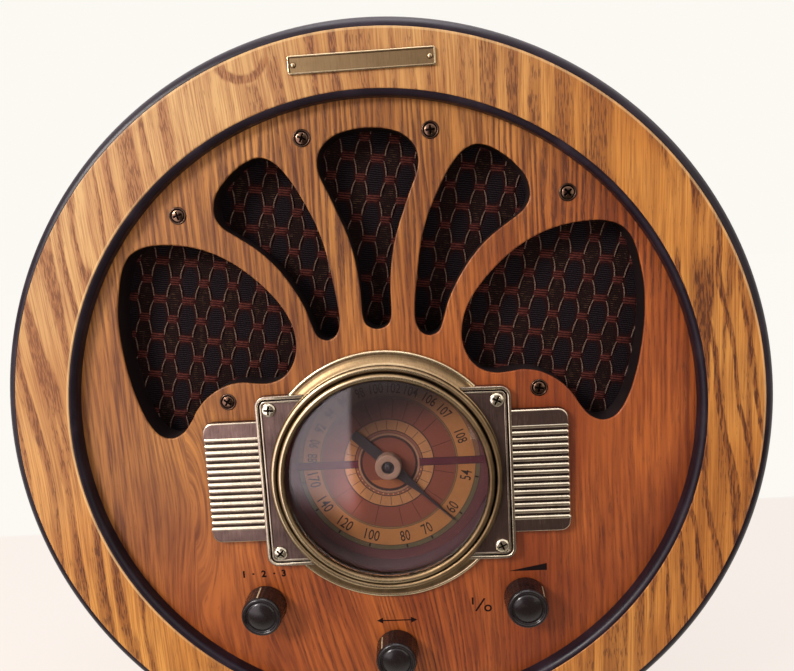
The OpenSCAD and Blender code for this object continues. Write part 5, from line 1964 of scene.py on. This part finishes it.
@dataclass
class SideDeck:
    """The cassette deck in the right side: its frame, door, keys with their signs, and works."""

    key_face: float = 170.0
    door_face: float = 165.0
    window_z: float = -5.0
    middle: float = 89.0
    key_z: float = 41.5

    def build(self) -> None:
        """Dresses the deck's pieces, and adds the keys' signs and the trim of the door's window."""
        for node, ease in (("deck_bezel", 0.6), ("cassette_door", 0.5), ("cassette_pocket", 0.2)):
            refine(node, ease)
        refine("door_window", 0.2, SMOKED)
        for node in ("stop_key", "forward_key", "play_key"):
            refine(node, 0.7, segments=3)
        self.key_signs()
        self.window_trim()

    def key_signs(self) -> None:
        """A square, a double triangle and a triangle, raised 0.15 mm from the keys."""
        shapes = {
            "stop_button": [[[-1.9, -1.9], [1.9, -1.9], [1.9, 1.9], [-1.9, 1.9]]],
            "forward_button": [[[-3, -2.1], [0, 0], [-3, 2.1]], [[0.4, -2.1], [3.4, 0], [0.4, 2.1]]],
            "play_button": [[[-1.8, -2.2], [2.2, 0], [-1.8, 2.2]]],
        }
        for (body, outlines), y in zip(shapes.items(), (-32.0, 0.0, 32.0)):
            form = Form()
            for outline in outlines:
                path = np.array(outline)
                form.flat([path], -0.15).flat([path], 0.1)
                form.grid(carried(path, np.array([[0.0, 0.15], [0.0, -0.1]]), 0.0), wrap_u=True)
            self.on_side(form, self.key_face, y, self.key_z)
            seat(form.build(body + "_sign", [SIGN]), body, "white_plastic")

    def window_trim(self) -> None:
        """The brass trim round the door's window: a rounded strip carried round the opening."""
        path = rounded_path(80.0, 36.0, 2.0)
        profile = eased(
            [[-0.02, -0.1], [2.2, -0.1], [2.2, 0.35], [0.9, 0.6], [-0.02, 0.35]],
            [0.05, 0.1, 0.3, 0.5, 0.2], 4,
        )
        wear = np.repeat([0.1, 0.2, 0.7, 0.95, 0.5], 4)[None]
        form = Form().grid(carried(path, profile, 0.0), True, True, wear=wear)
        self.on_side(form, self.door_face, 0.0, self.window_z)
        seat(form.build("window_trim", [BRASS]), "door", "antique_brass")

    def on_side(self, form: Form, face: float, y: float, z: float) -> None:
        """Turns a form drawn on the front onto the right side, at a depth y and a height z there."""
        for k, points in enumerate(form.points):
            form.points[k] = np.stack([
                face - points[:, 1], self.middle + y + points[:, 0], z + points[:, 2],
            ], -1)


@dataclass
class Case:
    """The bent drum, the plinth and feet, and the back with its fixings, each with its ease."""

    eases: tuple[tuple[str, float], ...] = (
        ("cabinet_drum", 0.6), ("base_plinth", 1.2), ("rubber_feet", 0.8), ("back_cover", 0.4),
        ("back_screws", 0.15), ("cord_gland", 0.5),
    )

    def build(self) -> None:
        """Dresses the case's pieces with eased edges."""
        for node, ease in self.eases:
            finish = FINISHES["foot_rubber"] if node == "cord_gland" else None
            refine(node, ease, finish)


def dress_works() -> None:
    """Gives every CAD node that still shows the finish of its slot, and the dial's cup dark paint."""
    for name, node in sorted(frame["nodes"].items()):
        if node.hide_render:
            continue
        finish = DARK_CUP if name == "dial_can" else FINISHES[SLOT_OF[name]]
        if not node.material_slots:
            node.data.materials.append(None)
        for holder in node.material_slots:
            holder.material = finish.material()
        LOG.info("%s: CAD piece with the finish %s", name, finish.name)


@dataclass
class Studio:
    """The floor, the pale surroundings, the lamps and the camera.

    The glass mirrors a bright pane beside a dim room. The window's side is the slope of the
    line between them, seen from above. The wall is where the table ends, in metres behind the
    radio's middle.
    """

    place: tuple[float, float, float] = (0.0252, -0.39235, 0.2564)
    right: tuple[float, float, float] = (0.9973, 0.0445, -0.0578)
    up: tuple[float, float, float] = (0.0508, 0.1453, 0.9881)
    ahead: tuple[float, float, float] = (-0.0523, 0.9884, -0.1426)
    lens: float = 32.65
    wall: float = 0.231
    window_side: float = 0.31
    dim: Tone = tone(104, 92, 86)
    pane: Tone = (2.2, 1.92, 2.02, 1.0)

    def build(self) -> None:
        """Makes the surroundings."""
        self.camera()
        self.floor()
        self.world()
        self.lamp("window", (-0.78, -0.85, 0.74), 0.34, 14.0, tone(255, 250, 244))
        self.lamp("room", (0.8, -0.8, 0.4), 0.7, 1.6, tone(255, 246, 236))
        self.lamp("ceiling", (0.0, -0.05, 1.25), 0.6, 5.0, tone(252, 250, 255))

    def camera(self) -> None:
        """The camera where the photo was taken from."""
        data = bpy.data.cameras.new("camera")
        data.lens, data.sensor_width, data.clip_start = self.lens, 36.0, 0.01
        holder = bpy.data.objects.new("camera", data)
        bpy.context.scene.collection.objects.link(holder)
        rows = Matrix((self.right, self.up, tuple(-a for a in self.ahead))).transposed()
        holder.matrix_world = Matrix.Translation(self.place) @ rows.to_4x4()
        bpy.context.scene.camera = holder

    def lamp(
        self, name: str, place: tuple[float, float, float], size: float, power: float, colour: Tone
    ) -> None:
        """A square lamp that faces the radio.

        Args:
            name: The lamp's name.
            place: Where it stands, in metres.
            size: The length of its side, in metres.
            power: Its power in watts.
            colour: The colour of its light.
        """
        data = bpy.data.lights.new(name, "AREA")
        data.size, data.energy, data.color = size, power, colour[:3]
        holder = bpy.data.objects.new(name, data)
        holder.location = place
        aim = Vector((0.0, -0.06, 0.18)) - Vector(place)
        holder.rotation_euler = aim.to_track_quat("-Z", "Y").to_euler()
        bpy.context.scene.collection.objects.link(holder)

    def floor(self) -> None:
        """The table: a level sheet that pales into the surroundings away from the radio."""
        edges = np.linspace(-4.0, 4.0, 3)
        x, y = np.meshgrid(edges, edges, indexing="ij")
        points = np.stack([x, y, 0 * x], -1).reshape(-1, 3)
        mesh = bpy.data.meshes.new("table")
        mesh.from_pydata(points.tolist(), [], [[0, 3, 4, 1], [1, 4, 5, 2], [3, 6, 7, 4], [4, 7, 8, 5]])
        table = bpy.data.objects.new("table", mesh)
        bpy.context.scene.collection.objects.link(table)
        material = bpy.data.materials.new("table_top")
        mesh.materials.append(material)
        g = Graph(material)
        x, y, _ = g.parts(g.add("ShaderNodeTexCoord", None, None, "Object"))
        far = (x * x + y * y).root()
        beyond = (y - x * 0.032).rise(self.wall - 0.003, self.wall + 0.003)
        colour = g.mix(beyond, tone(252, 243, 236), tone(253, 249, 243))
        left = (self.window_side * (y + 0.085) - x - 0.017).rise(-0.02, 0.02) * (1.0 - y.rise(-0.42, -0.24))
        front = 1.0 - y.rise(-0.2, -0.1)
        mirrored = g.mix(front, tone(236, 230, 222), g.mix(left, self.dim, self.pane))
        path = g.add("ShaderNodeLightPath").socket.node
        camera, glossy = Value(g, path.outputs["Is Camera Ray"]), Value(g, path.outputs["Is Glossy Ray"])
        clear = Value(g, path.outputs["Is Transmission Ray"])
        glow = g.add("ShaderNodeEmission", None, {"Color": g.mix(glossy, colour, mirrored), "Strength": 1.0})
        lit = g.add("ShaderNodeBsdfDiffuse", None, {"Color": tone(236, 230, 222)})
        share = glossy.most(camera.most(clear) * (0.88 + far.rise(0.25, 0.9) * 0.12).most(beyond))
        mixed = g.add("ShaderNodeMixShader", None, {0: share, 1: lit, 2: glow})
        g.add("ShaderNodeOutputMaterial", None, {"Surface": mixed})

    def world(self) -> None:
        """The surroundings: pale to the eye and in mirrors, and an even soft light."""
        world = bpy.data.worlds.new("surroundings")
        bpy.context.scene.world = world
        g = Graph(world)
        path = g.add("ShaderNodeLightPath").socket.node
        camera = Value(g, path.outputs["Is Camera Ray"])
        mirrored = Value(g, path.outputs["Is Glossy Ray"]).most(Value(g, path.outputs["Is Transmission Ray"]))
        x, y, z = g.parts(g.add("ShaderNodeTexCoord", None, None, "Generated"))
        left = (self.window_side * y - x).rise(-0.03, 0.03) * (0.0 - y).rise(0.4, 0.66)
        mirror = g.mix(left, self.dim, self.pane)
        mirror = g.mix(x.rise(0.45, 0.95) * 0.6, mirror, tone(226, 218, 206))
        mirror = g.mix(z.rise(0.2, 0.65).most(y.rise(-0.1, 0.4) * 0.25), mirror, (1.3, 1.2, 1.22, 1.0))
        colour = g.mix(mirrored, tone(178, 174, 172), mirror)
        colour = g.mix(camera, colour, tone(252, 249, 243))
        shade = g.add("ShaderNodeBackground", None, {"Color": colour, "Strength": 1.0})
        g.add("ShaderNodeOutputWorld", None, {"Surface": shade})


def main() -> None:
    """Builds the scene in order and reports each piece."""
    logging.basicConfig(level=logging.INFO, format="%(name)s: %(message)s")
    scene = bpy.context.scene
    scene.view_settings.view_transform = "Standard"
    for entry in frame["record"]["subparts"]:
        SLOT_OF[entry["node"]] = entry["material_slot"]
    Studio().build()
    FrontFrame().build()
    GrilleCloth().build()
    DialSet().build()
    Controls().build()
    SideDeck().build()
    Case().build()
    dress_works()


if __name__ == "__main__":
    main()
